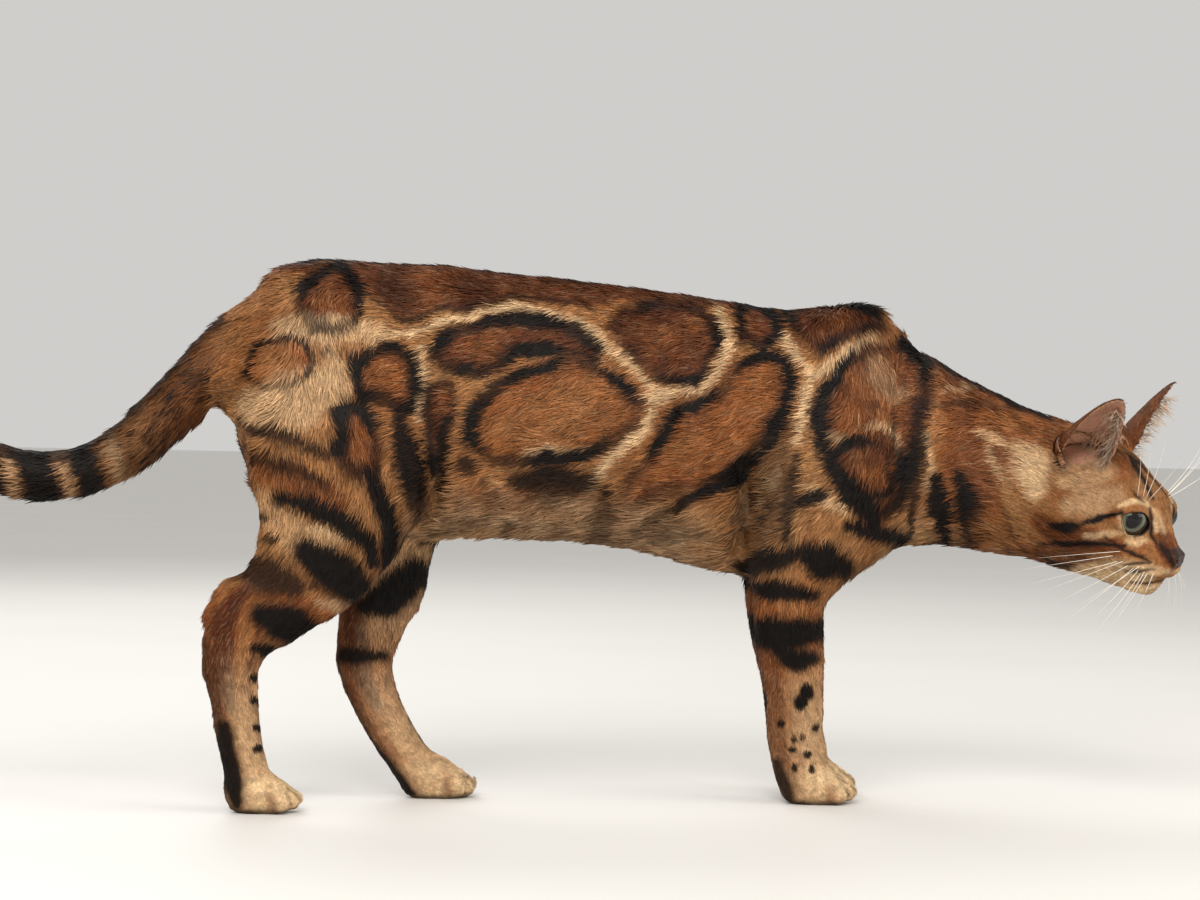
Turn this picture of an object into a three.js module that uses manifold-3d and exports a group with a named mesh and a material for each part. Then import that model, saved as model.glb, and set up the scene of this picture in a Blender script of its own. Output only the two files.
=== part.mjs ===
// A slim spotted cat walking with its head low, modelled life-size.
// Millimetres, +X towards the front of the body, +Y to the cat's left, +Z up.
// The body is one smooth field of blended limbs and ellipsoids. Each named piece is
// polygonised from that field at its own fineness and parted from its neighbours.
import * as THREE from 'three';
import { mergeVertices } from 'three/addons/utils/BufferGeometryUtils.js';
import Module from 'manifold-3d';

const wasm = await Module();
wasm.setup();

// ---------------------------------------------------------------- driving dimensions
const GAP = 0.3;                  // parting between neighbouring pieces
const BACK_TOP = 304;             // highest point of the back, over the hips
const LEFT = 1;                   // sign of y on the cat's left
const RIGHT = -1;                 // sign of y on the cat's right

const HEAD_YAW = -50;             // degrees, head turned to the cat's right
const HEAD_PITCH = 30;            // degrees, muzzle lowered
const HEAD_ROLL = -4;             // degrees, right side lowered
const NOSE_TIP = new THREE.Vector3(503.6, -95, 144);

const EYE_RADIUS = 11;
const EYE_CENTRE = { forward: -34.2, side: 16.8, up: 9.2 };
const EYE_YAW = 30;               // degrees, each eye looks outwards by this much
const EYE_PITCH = 6;              // degrees, each eye looks up by this much
const LID_THICKNESS = 1.8;
const EYE_OPENING = { width: 18, height: 16 };

const EAR_LENGTH = 48.5;
const EAR_WIDTH = 31;
const EAR_THICKNESS = 2.2;
const EAR_ROOT = 15;              // how far the ear runs down into the skull
const EAR_BASE = { forward: -76, side: 25, up: 28 };
const EAR_TIPS = {
  left: { forward: -69, side: 37, up: 76 },
  right: { forward: -60, side: 41, up: 71 },
};
const EAR_CUPS = { left: 0.55, right: 0.85 };   // depth of the cup; 1 would be round
const EAR_FACINGS = {
  left: { forward: 0.88, side: 0.45, up: -0.15 },
  right: { forward: 0.8, side: 0.58, up: -0.15 },
};

const FRONT_STEP = 12;            // the left front foot stands this far ahead of the right

// Blend radii between the parts of the field.
const BLEND = { trunk: 20, limb: 18, face: 6, paw: 3.5, tail: 8, head: 12 };

// ---------------------------------------------------------------- colours
const COLOURS = {
  coat: 0x9c5d33,
  flank: 0x8a4a26,
  leg: 0xb07a4a,
  toe: 0xd9b98a,
  black: 0x1c1310,
  face: 0xb27b4e,
  chin: 0xd8b48c,
  ear: 0xb4735a,
  nose: 0x3a2420,
  eye: 0x8fa394,
};

// ---------------------------------------------------------------- frames
const radians = THREE.MathUtils.degToRad;

/** Frame of the head: x forward, y to the cat's left, z up, origin at the tip of the nose. */
function headFrame() {
  const turn = new THREE.Euler(
    radians(-HEAD_ROLL), radians(HEAD_PITCH), radians(HEAD_YAW), 'ZYX');
  return new THREE.Matrix4().makeRotationFromEuler(turn).setPosition(NOSE_TIP);
}

const HEAD = headFrame();

const headPoint = (forward, side, up) =>
  new THREE.Vector3(forward, side, up).applyMatrix4(HEAD);
const headDirection = (forward, side, up) =>
  new THREE.Vector3(forward, side, up).transformDirection(HEAD);

// ---------------------------------------------------------------- field of the body
// A field returns the approximate distance from a point to a surface, negative inside.

/** Distance along the ray from the centre, for a section reached at scale k. */
function radial(length, k, inner) {
  return k > 1e-6 ? length * (1 - 1 / k) : -inner;
}

/**
 * Limb along a smooth path. Each station gives the centre and the half thickness in the
 * plane of the path (deep) and across it (wide); egg narrows the upper side, and cap is
 * the length of the rounded ends, where it isn't the smaller half thickness.
 */
function limb(stations, { samples = 28, power = 2, egg = 0, cap = 0 } = {}) {
  const centres = stations.map((s) => new THREE.Vector3(...s.at));
  const path = new THREE.CatmullRomCurve3(centres, false, 'centripetal');
  const last = stations.length - 1;
  const across = new THREE.Vector3(0, 1, 0);
  const sections = [];
  for (let i = 0; i <= samples; i += 1) {
    const along = (i / samples) * last;
    const k = Math.min(Math.floor(along), last - 1);
    const t = smooth(along - k);
    const tangent = path.getTangent(along / last);
    const deep = new THREE.Vector3().crossVectors(tangent, across).normalize();
    if (deep.z < 0) deep.negate();
    const wide = new THREE.Vector3().crossVectors(deep, tangent).normalize();
    sections.push({
      centre: path.getPoint(along / last),
      tangent,
      deep,
      wide,
      deepHalf: mix(stations[k].deep, stations[k + 1].deep, t),
      wideHalf: mix(stations[k].wide, stations[k + 1].wide, t),
    });
  }
  const box = new THREE.Box3();
  for (const s of sections) {
    const reach = Math.max(s.deepHalf, s.wideHalf);
    box.union(new THREE.Box3().setFromCenterAndSize(
      s.centre, new THREE.Vector3(2 * reach, 2 * reach, 2 * reach)));
  }
  return { box, distance: (p) => limbDistance(sections, p, { power, egg, cap }) };
}

const mix = (a, b, t) => a + (b - a) * t;
const smooth = (t) => t * t * (3 - 2 * t) * 0.5 + t * 0.5;

/** Distance from p to the nearest section of a limb. */
function limbDistance(sections, p, { power, egg, cap }) {
  let best = Infinity;
  let index = 0;
  let at = 0;
  for (let i = 0; i + 1 < sections.length; i += 1) {
    const a = sections[i].centre;
    const b = sections[i + 1].centre;
    const ex = b.x - a.x;
    const ey = b.y - a.y;
    const ez = b.z - a.z;
    const run = ((p.x - a.x) * ex + (p.y - a.y) * ey + (p.z - a.z) * ez)
      / (ex * ex + ey * ey + ez * ez);
    const t = Math.min(Math.max(run, 0), 1);
    const dx = p.x - a.x - t * ex;
    const dy = p.y - a.y - t * ey;
    const dz = p.z - a.z - t * ez;
    const square = dx * dx + dy * dy + dz * dz;
    if (square < best) {
      best = square;
      index = i;
      at = t;
    }
  }
  const a = sections[index];
  const b = sections[index + 1];
  const offset = new THREE.Vector3().lerpVectors(a.centre, b.centre, at).sub(p).negate();
  const deepHalf = mix(a.deepHalf, b.deepHalf, at);
  const wideHalf = mix(a.wideHalf, b.wideHalf, at);
  const near = at < 0.5 ? a : b;
  const u = offset.dot(near.deep) / deepHalf;
  const narrow = 1 - egg * Math.max(-1, Math.min(1, u));
  const v = offset.dot(near.wide) / (wideHalf * narrow);
  const w = offset.dot(near.tangent) / (cap || Math.min(deepHalf, wideHalf));
  const ring = Math.abs(u) ** power + Math.abs(v) ** power;
  const k = Math.sqrt(ring ** (2 / power) + w * w);
  return radial(offset.length(), k, Math.min(deepHalf, wideHalf));
}

/** Ellipsoid with half sizes along its own axes, turned by a rotation. */
function ellipsoid(centre, half, rotation = new THREE.Euler()) {
  const frame = new THREE.Matrix4().makeRotationFromEuler(rotation).setPosition(centre);
  const inverse = frame.clone().invert();
  const reach = Math.max(...half);
  const box = new THREE.Box3().setFromCenterAndSize(
    centre, new THREE.Vector3(2 * reach, 2 * reach, 2 * reach));
  const q = new THREE.Vector3();
  const distance = (p) => {
    q.copy(p).applyMatrix4(inverse);
    const k = Math.hypot(q.x / half[0], q.y / half[1], q.z / half[2]);
    return radial(q.length(), k, Math.min(...half));
  };
  return { box, distance };
}

/** Ellipsoid placed and turned in the head's frame. */
function headEllipsoid(forward, side, up, half, pitch = 0, yaw = 0) {
  const local = new THREE.Euler(0, radians(pitch), radians(yaw), 'ZYX');
  const frame = HEAD.clone().multiply(new THREE.Matrix4().makeRotationFromEuler(local));
  const rotation = new THREE.Euler().setFromRotationMatrix(frame);
  return ellipsoid(headPoint(forward, side, up), half, rotation);
}

/** Limb whose stations are given in the head's frame, on its mid-plane. */
function headLimb(stations, options) {
  const placed = stations.map((s) => ({
    ...s, at: headPoint(s.at[0], s.at[1], s.at[2]).toArray(),
  }));
  const upright = headDirection(0, 1, 0);
  return turnedLimb(placed, upright, options);
}

/** Limb whose wide direction is measured along the given axis instead of world y. */
function turnedLimb(stations, axis, options) {
  const turn = new THREE.Quaternion().setFromUnitVectors(axis, new THREE.Vector3(0, 1, 0));
  const back = turn.clone().invert();
  const pivot = new THREE.Vector3(...stations[0].at);
  const moved = stations.map((s) => ({
    ...s, at: new THREE.Vector3(...s.at).sub(pivot).applyQuaternion(turn).toArray(),
  }));
  const inner = limb(moved, options);
  const q = new THREE.Vector3();
  const corners = new THREE.Box3();
  const { min, max } = inner.box;
  for (const x of [min.x, max.x]) {
    for (const y of [min.y, max.y]) {
      for (const z of [min.z, max.z]) {
        corners.expandByPoint(new THREE.Vector3(x, y, z).applyQuaternion(back).add(pivot));
      }
    }
  }
  return {
    box: corners,
    distance: (p) => inner.distance(q.copy(p).sub(pivot).applyQuaternion(turn)),
  };
}

/** Smooth union of distance a with distance b over the blend radius. */
function blend(a, b, radius) {
  const h = Math.max(radius - Math.abs(a - b), 0) / radius;
  return Math.min(a, b) - h * h * radius * 0.25;
}

/** Joins solids into one field; each is skipped where it is too far away to matter. */
function unite(solids, radius) {
  const box = new THREE.Box3();
  for (const s of solids) box.union(s.box);
  const distance = (p) => {
    let d = Infinity;
    for (const s of solids) {
      if (s.box.distanceToPoint(p) > d + radius) continue;
      const next = s.distance(p);
      d = d === Infinity ? next : blend(d, next, radius);
    }
    return d;
  };
  return { box, distance };
}

// ---------------------------------------------------------------- trunk, neck and tail
/** Trunk stations: distance along the back, top and bottom of the profile, half width. */
const TRUNK = [
  { x: 4, top: BACK_TOP - 6, bottom: 168, wide: 35 },
  { x: 26, top: BACK_TOP - 1.5, bottom: 160, wide: 41 },
  { x: 60, top: BACK_TOP, bottom: 152, wide: 43 },
  { x: 100, top: BACK_TOP - 0.5, bottom: 149, wide: 41 },
  { x: 145, top: BACK_TOP - 4, bottom: 149, wide: 42 },
  { x: 190, top: BACK_TOP - 8, bottom: 147, wide: 46.5 },
  { x: 235, top: BACK_TOP - 13, bottom: 140, wide: 48 },
  { x: 275, top: BACK_TOP - 18, bottom: 130, wide: 45.5 },
  { x: 310, top: BACK_TOP - 20, bottom: 127, wide: 41 },
  { x: 342, top: BACK_TOP - 34, bottom: 133, wide: 36 },
];

const NECK = [
  { at: [335, 0, 204], deep: 64, wide: 37 },
  { at: [372, -3, 202.5], deep: 59, wide: 36 },
  { at: [402, -9, 195.5], deep: 49, wide: 35 },
  { at: [430, -19, 187.5], deep: 44, wide: 35 },
  { at: [452, -33, 181.5], deep: 41.5, wide: 34 },
];

const TAIL = [
  { at: [14, 0, 270], deep: 24, wide: 20 },
  { at: [-14, 0, 257], deep: 19, wide: 17 },
  { at: [-38, 0, 234], deep: 17, wide: 16 },
  { at: [-58, 0, 213.5], deep: 16, wide: 15.5 },
  { at: [-78, 0, 195], deep: 14.8, wide: 14.8 },
  { at: [-102, 0, 183], deep: 14.2, wide: 14.2 },
  { at: [-128, 0, 181], deep: 14, wide: 14 },
  { at: [-154, 3, 188], deep: 13.6, wide: 13.6 },
  { at: [-178, 8, 203], deep: 12.6, wide: 12.6 },
  { at: [-198, 14, 223], deep: 10.6, wide: 10.6 },
  { at: [-206, 17, 236], deep: 8.2, wide: 8.2 },
];

function trunkField() {
  const stations = TRUNK.map((s) => ({
    at: [s.x, 0, (s.top + s.bottom) / 2], deep: (s.top - s.bottom) / 2, wide: s.wide,
  }));
  return limb(stations, { samples: 40, power: 2.2, egg: 0.1, cap: 22 });
}

// ---------------------------------------------------------------- legs
// Stations run from the top of the leg to the wrist or ankle, for the right side;
// "out" is the distance from the mid-plane.
const FRONT_LEG = [
  { x: 329, out: 17, z: 266, deep: 37, wide: 13 },
  { x: 337, out: 24, z: 243, deep: 42, wide: 15 },
  { x: 337, out: 31, z: 212, deep: 40, wide: 16 },
  { x: 328, out: 33, z: 178, deep: 39, wide: 17 },
  { x: 304, out: 31.5, z: 144, deep: 29, wide: 16.5 },
  { x: 293.5, out: 28.5, z: 117, deep: 23, wide: 15.5 },
  { x: 296, out: 25, z: 92, deep: 21.5, wide: 15 },
  { x: 299.5, out: 22, z: 66, deep: 18.6, wide: 13.6 },
  { x: 300.8, out: 20, z: 44, deep: 17.6, wide: 13 },
  { x: 305, out: 19, z: 24, deep: 17, wide: 13.4 },
];

const NEAR_HIND_LEG = [
  { x: 26, out: 24, z: 256, deep: 38, wide: 16 },
  { x: 33, out: 31, z: 226, deep: 50, wide: 19 },
  { x: 35, out: 34, z: 196, deep: 50, wide: 20 },
  { x: 33, out: 35, z: 168, deep: 46, wide: 19.5 },
  { x: 25, out: 34, z: 143, deep: 38, wide: 18 },
  { x: 10, out: 32, z: 121, deep: 28, wide: 16 },
  { x: -13, out: 29.5, z: 103, deep: 25.5, wide: 14 },
  { x: -20.5, out: 27.5, z: 83, deep: 18, wide: 12.6 },
  { x: -18.5, out: 26.3, z: 62, deep: 14.6, wide: 11.6 },
  { x: -15.2, out: 25.6, z: 42, deep: 12.8, wide: 11.4 },
  { x: -11, out: 25, z: 22, deep: 12.4, wide: 12 },
];

const FAR_HIND_LEG = [
  { x: 40, out: 24, z: 254, deep: 38, wide: 16 },
  { x: 52, out: 31, z: 224, deep: 48, wide: 19 },
  { x: 62, out: 34, z: 194, deep: 46, wide: 20 },
  { x: 68, out: 35, z: 166, deep: 40, wide: 19 },
  { x: 70, out: 33.5, z: 141, deep: 32, wide: 17 },
  { x: 69, out: 31, z: 118, deep: 26, wide: 15 },
  { x: 63, out: 28.5, z: 97, deep: 20.5, wide: 13.4 },
  { x: 59.5, out: 26.7, z: 78, deep: 18, wide: 12.4 },
  { x: 65, out: 25.8, z: 58, deep: 14.6, wide: 11.4 },
  { x: 74, out: 25.2, z: 40, deep: 13.6, wide: 11.2 },
  { x: 86, out: 25, z: 22, deep: 13, wide: 12 },
];

const LEG_CAP = 20;               // rounding of the shoulder blade's and hip's upper ends

const FRONT_PAW = { x: 318, out: 18.5, length: 45, width: 31, height: 26 };
const NEAR_HIND_PAW = { x: 0.5, out: 25, length: 42, width: 29, height: 27 };
const FAR_HIND_PAW = { x: 105.5, out: 25, length: 44, width: 29, height: 28 };

/** Four toes in an arc in front of one pad; the middle two reach furthest forward. */
function pawFields({ x, out, length, width, height }, side) {
  const y = side * out;
  const toeHalf = [length * 0.25, width * 0.155, height * 0.37];
  const parts = [
    ellipsoid(new THREE.Vector3(x - length * 0.12, y, height * 0.38),
      [length * 0.44, width * 0.43, height * 0.5]),
  ];
  for (const slot of [-1.5, -0.5, 0.5, 1.5]) {
    const setBack = (slot * slot - 0.25) * length * 0.06;
    const centre = new THREE.Vector3(
      x + length * 0.24 - setBack, y + slot * width * 0.235, height * 0.335);
    parts.push(ellipsoid(centre, toeHalf, new THREE.Euler(0, 0, radians(slot * 7))));
  }
  return parts;
}

/** One leg's own field; shift moves the whole leg forwards. */
function leg(stations, paw, side, shift = 0) {
  const placed = stations.map((s) => ({
    at: [s.x + shift, side * s.out, s.z], deep: s.deep, wide: s.wide,
  }));
  const foot = unite(pawFields({ ...paw, x: paw.x + shift }, side), BLEND.paw);
  const shaft = limb(placed, { samples: 36, cap: LEG_CAP });
  const axis = placed.map((s) => s.at);
  return { side, axis, field: unite([shaft, foot], BLEND.paw * 2) };
}

// ---------------------------------------------------------------- head
const SKULL = {
  cranium: { at: [-67, 0, 9], half: [35, 30.5, 27] },
  forehead: { at: [-47, 0, 9.5], half: [28, 22, 19.5] },
  occiput: { at: [-84, 0, 4], half: [20, 27, 24] },
};

const MUZZLE_RIDGE = [
  { at: [-48, 0, 9], deep: 17, wide: 15 },
  { at: [-34, 0, 7.5], deep: 14.5, wide: 12.5 },
  { at: [-20, 0, 2.5], deep: 11, wide: 9.5 },
  { at: [-9, 0, -2], deep: 7, wide: 7.5 },
];

const JAW = [
  { at: [-18.5, 0, -22.5], deep: 9.5, wide: 9.5 },
  { at: [-36, 0, -23.5], deep: 12.5, wide: 15 },
  { at: [-56, 0, -22], deep: 19.5, wide: 23 },
  { at: [-76, 0, -17], deep: 24, wide: 26 },
];

function headField() {
  const parts = [
    headLimb(MUZZLE_RIDGE, { samples: 12 }),
    headLimb(JAW, { samples: 12 }),
    headEllipsoid(-4, 0, -0.4, [4, 7.2, 4.8]),
  ];
  for (const { at, half } of Object.values(SKULL)) {
    parts.push(headEllipsoid(at[0], at[1], at[2], half));
  }
  for (const side of [LEFT, RIGHT]) {
    parts.push(headEllipsoid(-14, side * 9, -8.6, [11.5, 10, 8.6]));
    parts.push(headEllipsoid(-30, side * 15, -9, [16, 11.5, 12], 0, side * -18));
    parts.push(headEllipsoid(-59, side * 21.5, -7, [24, 15.5, 20], 0, side * -8));
    parts.push(headEllipsoid(-41, side * 13.5, 16.5, [10.5, 8.5, 8]));
    parts.push(headEllipsoid(
      EYE_CENTRE.forward, side * EYE_CENTRE.side, EYE_CENTRE.up,
      Array(3).fill(EYE_RADIUS + LID_THICKNESS)));
  }
  return unite(parts, BLEND.face);
}

// ---------------------------------------------------------------- whole body
const LEGS = {
  front_right: leg(FRONT_LEG, FRONT_PAW, RIGHT),
  front_left: leg(FRONT_LEG, FRONT_PAW, LEFT, FRONT_STEP),
  hind_right: leg(NEAR_HIND_LEG, NEAR_HIND_PAW, RIGHT),
  hind_left: leg(FAR_HIND_LEG, FAR_HIND_PAW, LEFT),
};

function bodyField() {
  const core = unite([trunkField(), limb(NECK, { samples: 16 })], BLEND.trunk);
  const withTail = unite([core, limb(TAIL, { samples: 40 })], BLEND.tail);
  const legs = Object.values(LEGS).map(({ field }) => field);
  const withLegs = unite([withTail, ...legs], BLEND.limb);
  return unite([withLegs, headField()], BLEND.head);
}

const BODY = bodyField();

// ---------------------------------------------------------------- polygonising
const WORLD = new THREE.Matrix4();

/**
 * Turns the body field inside a box into a closed mesh. The box and its cell sizes are
 * measured in the given frame; grow moves the surface outwards.
 */
function polygonise(box, cell, frame = WORLD, grow = 0) {
  const count = ['x', 'y', 'z'].map((k) => Math.ceil((box.max[k] - box.min[k]) / cell[k]));
  const step = ['x', 'y', 'z'].map((k, i) => (box.max[k] - box.min[k]) / count[i]);
  const place = (i, j, k) => new THREE.Vector3(
    box.min.x + i * step[0], box.min.y + j * step[1], box.min.z + k * step[2]);
  const inset = box.clone().expandByVector(new THREE.Vector3(...step).multiplyScalar(-0.5));
  const world = new THREE.Vector3();
  const value = (local) => {
    world.copy(local).applyMatrix4(frame);
    return Math.max(BODY.distance(world) - grow, outside(inset, local));
  };
  const values = sampleGrid(count, place, value);
  const net = surfaceNet(count, place, values);
  for (const vertex of net.vertices) settle(vertex, value, Math.min(...step));
  const positions = net.vertices.flatMap((v) => v.applyMatrix4(frame).toArray());
  return solidFrom(positions, net.triangles);
}

/**
 * Closed skin of the body round a path: rings of rays run outwards from the path to
 * where they leave the body, or to the given reach.
 */
function sleeve(points, { rings, spokes, reach }) {
  const path = new THREE.CatmullRomCurve3(
    points.map((p) => new THREE.Vector3(...p)), false, 'centripetal');
  const across = new THREE.Vector3(0, 1, 0);
  const positions = [];
  for (let i = 0; i <= rings; i += 1) {
    const centre = path.getPointAt(i / rings);
    const tangent = path.getTangentAt(i / rings);
    const deep = new THREE.Vector3().crossVectors(across, tangent).normalize();
    const wide = new THREE.Vector3().crossVectors(tangent, deep);
    for (let j = 0; j < spokes; j += 1) {
      const angle = (2 * Math.PI * (j + 0.5)) / spokes;
      const ray = deep.clone().multiplyScalar(Math.cos(angle));
      ray.addScaledVector(wide, Math.sin(angle));
      positions.push(...centre.clone().addScaledVector(ray, exit(centre, ray, reach)).toArray());
    }
  }
  positions.push(...path.getPoint(0).toArray(), ...path.getPoint(1).toArray());
  return outward(positions, sleeveFaces(rings, spokes));
}

function sleeveFaces(rings, spokes) {
  const triangles = [];
  const at = (i, j) => i * spokes + (j % spokes);
  const bottom = (rings + 1) * spokes;
  for (let j = 0; j < spokes; j += 1) {
    for (let i = 0; i < rings; i += 1) {
      const [a, b] = [at(i, j), at(i, j + 1)];
      const [c, d] = [at(i + 1, j + 1), at(i + 1, j)];
      triangles.push(a, b, c, a, c, d);
    }
    triangles.push(bottom, at(0, j + 1), at(0, j));
    triangles.push(bottom + 1, at(rings, j), at(rings, j + 1));
  }
  return triangles;
}

/** How far a ray runs before it leaves the body. */
function exit(start, ray, reach) {
  const point = new THREE.Vector3();
  const inside = (run) => BODY.distance(point.copy(start).addScaledVector(ray, run)) < 0;
  const stride = 1.5;
  let run = stride;
  while (run < reach && inside(run)) run += stride;
  if (run >= reach) return reach;
  let low = run - stride;
  let high = run;
  for (let round = 0; round < 10; round += 1) {
    const middle = (low + high) / 2;
    if (inside(middle)) low = middle;
    else high = middle;
  }
  return low;
}

/** Distance outside a box, negative inside. */
function outside(box, p) {
  return Math.max(
    box.min.x - p.x, p.x - box.max.x,
    box.min.y - p.y, p.y - box.max.y,
    box.min.z - p.z, p.z - box.max.z);
}

function sampleGrid(count, place, value) {
  const [nx, ny, nz] = count.map((n) => n + 1);
  const values = new Float64Array(nx * ny * nz);
  let index = 0;
  for (let i = 0; i < nx; i += 1) {
    for (let j = 0; j < ny; j += 1) {
      for (let k = 0; k < nz; k += 1) {
        values[index] = value(place(i, j, k));
        index += 1;
      }
    }
  }
  return values;
}

const CORNERS = [0, 1, 2, 3, 4, 5, 6, 7].map((c) => [c & 1, (c >> 1) & 1, (c >> 2) & 1]);
const EDGES = [];
for (let a = 0; a < 8; a += 1) {
  for (const bit of [1, 2, 4]) {
    if (!(a & bit)) EDGES.push([a, a | bit]);
  }
}

/** Naive surface net: one vertex in each cell that the surface crosses. */
function surfaceNet(count, place, values) {
  const [cx, cy, cz] = count;
  const stride = [(cy + 1) * (cz + 1), cz + 1, 1];
  const at = (i, j, k) => i * stride[0] + j * stride[1] + k * stride[2];
  const vertexOf = new Map();
  const vertices = [];
  for (let i = 0; i < cx; i += 1) {
    for (let j = 0; j < cy; j += 1) {
      for (let k = 0; k < cz; k += 1) {
        const vertex = cellVertex(i, j, k, at, place, values);
        if (!vertex) continue;
        vertexOf.set(at(i, j, k), vertices.length);
        vertices.push(vertex);
      }
    }
  }
  return { vertices, triangles: netFaces(count, at, stride, values, vertexOf, vertices) };
}

/** Mean of the points where the surface crosses the edges of one cell. */
function cellVertex(i, j, k, at, place, values) {
  const corner = CORNERS.map(([a, b, c]) => values[at(i + a, j + b, k + c)]);
  const inside = corner.filter((v) => v < 0).length;
  if (inside === 0 || inside === 8) return null;
  const sum = new THREE.Vector3();
  let crossings = 0;
  for (const [a, b] of EDGES) {
    if (corner[a] < 0 === corner[b] < 0) continue;
    const t = corner[a] / (corner[a] - corner[b]);
    const pa = place(i + CORNERS[a][0], j + CORNERS[a][1], k + CORNERS[a][2]);
    const pb = place(i + CORNERS[b][0], j + CORNERS[b][1], k + CORNERS[b][2]);
    sum.add(pa.lerp(pb, t));
    crossings += 1;
  }
  return sum.divideScalar(crossings);
}

/** Two triangles around every grid edge that the surface crosses. */
function netFaces(count, at, stride, values, vertexOf, vertices) {
  const triangles = [];
  const addFaces = (cell, axis) => {
    const here = at(...cell);
    const there = here + stride[axis];
    if (values[here] < 0 === values[there] < 0) return;
    const u = stride[(axis + 1) % 3];
    const v = stride[(axis + 2) % 3];
    const ring = [here - u - v, here - v, here, here - u].map((c) => vertexOf.get(c));
    if (values[here] > 0) ring.reverse();
    triangles.push(...splitQuad(ring, vertices));
  };
  for (let i = 0; i < count[0]; i += 1) {
    for (let j = 0; j < count[1]; j += 1) {
      for (let k = 0; k < count[2]; k += 1) {
        const cell = [i, j, k];
        for (let axis = 0; axis < 3; axis += 1) {
          const inner = cell[(axis + 1) % 3] > 0 && cell[(axis + 2) % 3] > 0;
          if (inner) addFaces(cell, axis);
        }
      }
    }
  }
  return triangles;
}

/** Splits a quad along its shorter diagonal. */
function splitQuad([a, b, c, d], vertices) {
  const first = vertices[a].distanceToSquared(vertices[c]);
  const second = vertices[b].distanceToSquared(vertices[d]);
  return first <= second ? [a, b, c, a, c, d] : [b, c, d, b, d, a];
}

/** Moves a vertex onto the surface along the field's gradient. */
function settle(vertex, value, limit) {
  const h = 0.05;
  const start = vertex.clone();
  for (let round = 0; round < 4; round += 1) {
    const d = value(vertex);
    const gradient = new THREE.Vector3(
      value(probe(vertex, h, 0, 0)) - value(probe(vertex, -h, 0, 0)),
      value(probe(vertex, 0, h, 0)) - value(probe(vertex, 0, -h, 0)),
      value(probe(vertex, 0, 0, h)) - value(probe(vertex, 0, 0, -h))).divideScalar(2 * h);
    const slope = gradient.lengthSq();
    if (slope < 1e-4) return;
    vertex.addScaledVector(gradient, -0.8 * d / slope);
  }
  if (vertex.distanceTo(start) > limit * 0.6) vertex.copy(start);
}

const probe = (v, x, y, z) => new THREE.Vector3(v.x + x, v.y + y, v.z + z);

// ---------------------------------------------------------------- solids and parting
function solidFrom(positions, triangles) {
  return new wasm.Manifold(new wasm.Mesh({
    numProp: 3,
    vertProperties: new Float32Array(positions),
    triVerts: new Uint32Array(triangles),
  }));
}

/** Solid of a three.js geometry in a given frame. */
function solidOf(geometry, frame = WORLD) {
  const placed = geometry.clone().applyMatrix4(frame);
  placed.deleteAttribute('normal');
  placed.deleteAttribute('uv');
  const merged = mergeVertices(placed, 1e-4);
  return solidFrom(merged.attributes.position.array, merged.index.array);
}

/** Half space on the side that the normal points to. */
function plane(point, normal) {
  const n = new THREE.Vector3(...normal).normalize();
  return { n, offset: n.dot(new THREE.Vector3(...point)) };
}

/** Keeps what lies inside all the half spaces, drawn in by half the parting gap. */
function trim(solid, planes, inset = GAP / 2) {
  return planes.reduce(
    (kept, { n, offset }) => kept.trimByPlane(n.toArray(), offset + inset), solid);
}

const SPACE = solidOf(new THREE.BoxGeometry(2000, 1000, 1000));

/** Convex block bounded by half spaces, pushed out by half the gap, for taking away. */
const block = (planes) => trim(SPACE, planes, -GAP / 2);

/** Largest body of a solid; crumbs left by a cut are dropped. */
function largest(solid) {
  const bodies = solid.decompose();
  return bodies.reduce((best, body) => (body.volume() > best.volume() ? body : best));
}

const FLOOR = plane([0, 0, -GAP / 2], [0, 0, 1]);

// ---------------------------------------------------------------- where the pieces part
const NECK_BACK = plane([377, 0, 196], [0.966, 0, -0.256]);
const flip = ({ n, offset }) => ({ n: n.clone().negate(), offset: -offset });

function headPlane(at, normal) {
  return plane(headPoint(...at).toArray(), headDirection(...normal).toArray());
}

const HEAD_BACK = headPlane([-84, 0, 0], [0.93, 0, 0.36]);
const LOIN_BACK = plane([108, 0, 0], [1, 0, 0]);
const CHEST_BACK = plane([232, 0, 0], [1, 0, 0]);
const TAIL_ROOT = plane([-22, 0, 232], [-0.996, 0, 0.085]);
const TAIL_FLOOR = plane([0, 0, 140], [0, 0, 1]);
const TAIL_FIRST_JOINT = plane([-80, 0, 194], [-0.85, 0, -0.53]);
const TAIL_SECOND_JOINT = plane([-146, 0, 186], [-0.96, 0, 0.28]);

// The upper piece of a leg is a wedge that leans against the trunk: it starts at "top"
// and its inner side slopes outwards and up from the mid-plane at "apex".
const WEDGE = {
  front: { top: 118, apex: 100, slope: 2.4 },
  hind: { top: 128, apex: 118, slope: 2.2 },
};
// The pieces below it, by height: a sleeve round the leg from its fourth station, or a
// net with cells of the given size.
const LOWER_PIECES = {
  front: [
    { name: 'forearm', bottom: 34, top: 118, rings: 9 },
    { name: 'paw', bottom: 0, top: 34, cell: [8.0, 6.7, 7.4] },
  ],
  hind: [
    { name: 'shank', bottom: 104, top: 128, cell: [10, 8.5, 11] },
    { name: 'metatarsus', bottom: 27, top: 104, rings: 11 },
    { name: 'paw', bottom: 0, top: 27, cell: [8.0, 6.7, 7.4] },
  ],
};
const LEG_SPOKES = 12;
const BETWEEN_LEGS = 200;         // x of a plane between the front and the hind legs
const REACH = {
  front_right: [262, 400], front_left: [272, 400],
  hind_right: [-60, 96], hind_left: [-60, 118],
};

const kindOf = (name) => name.split('_')[0];

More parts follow.
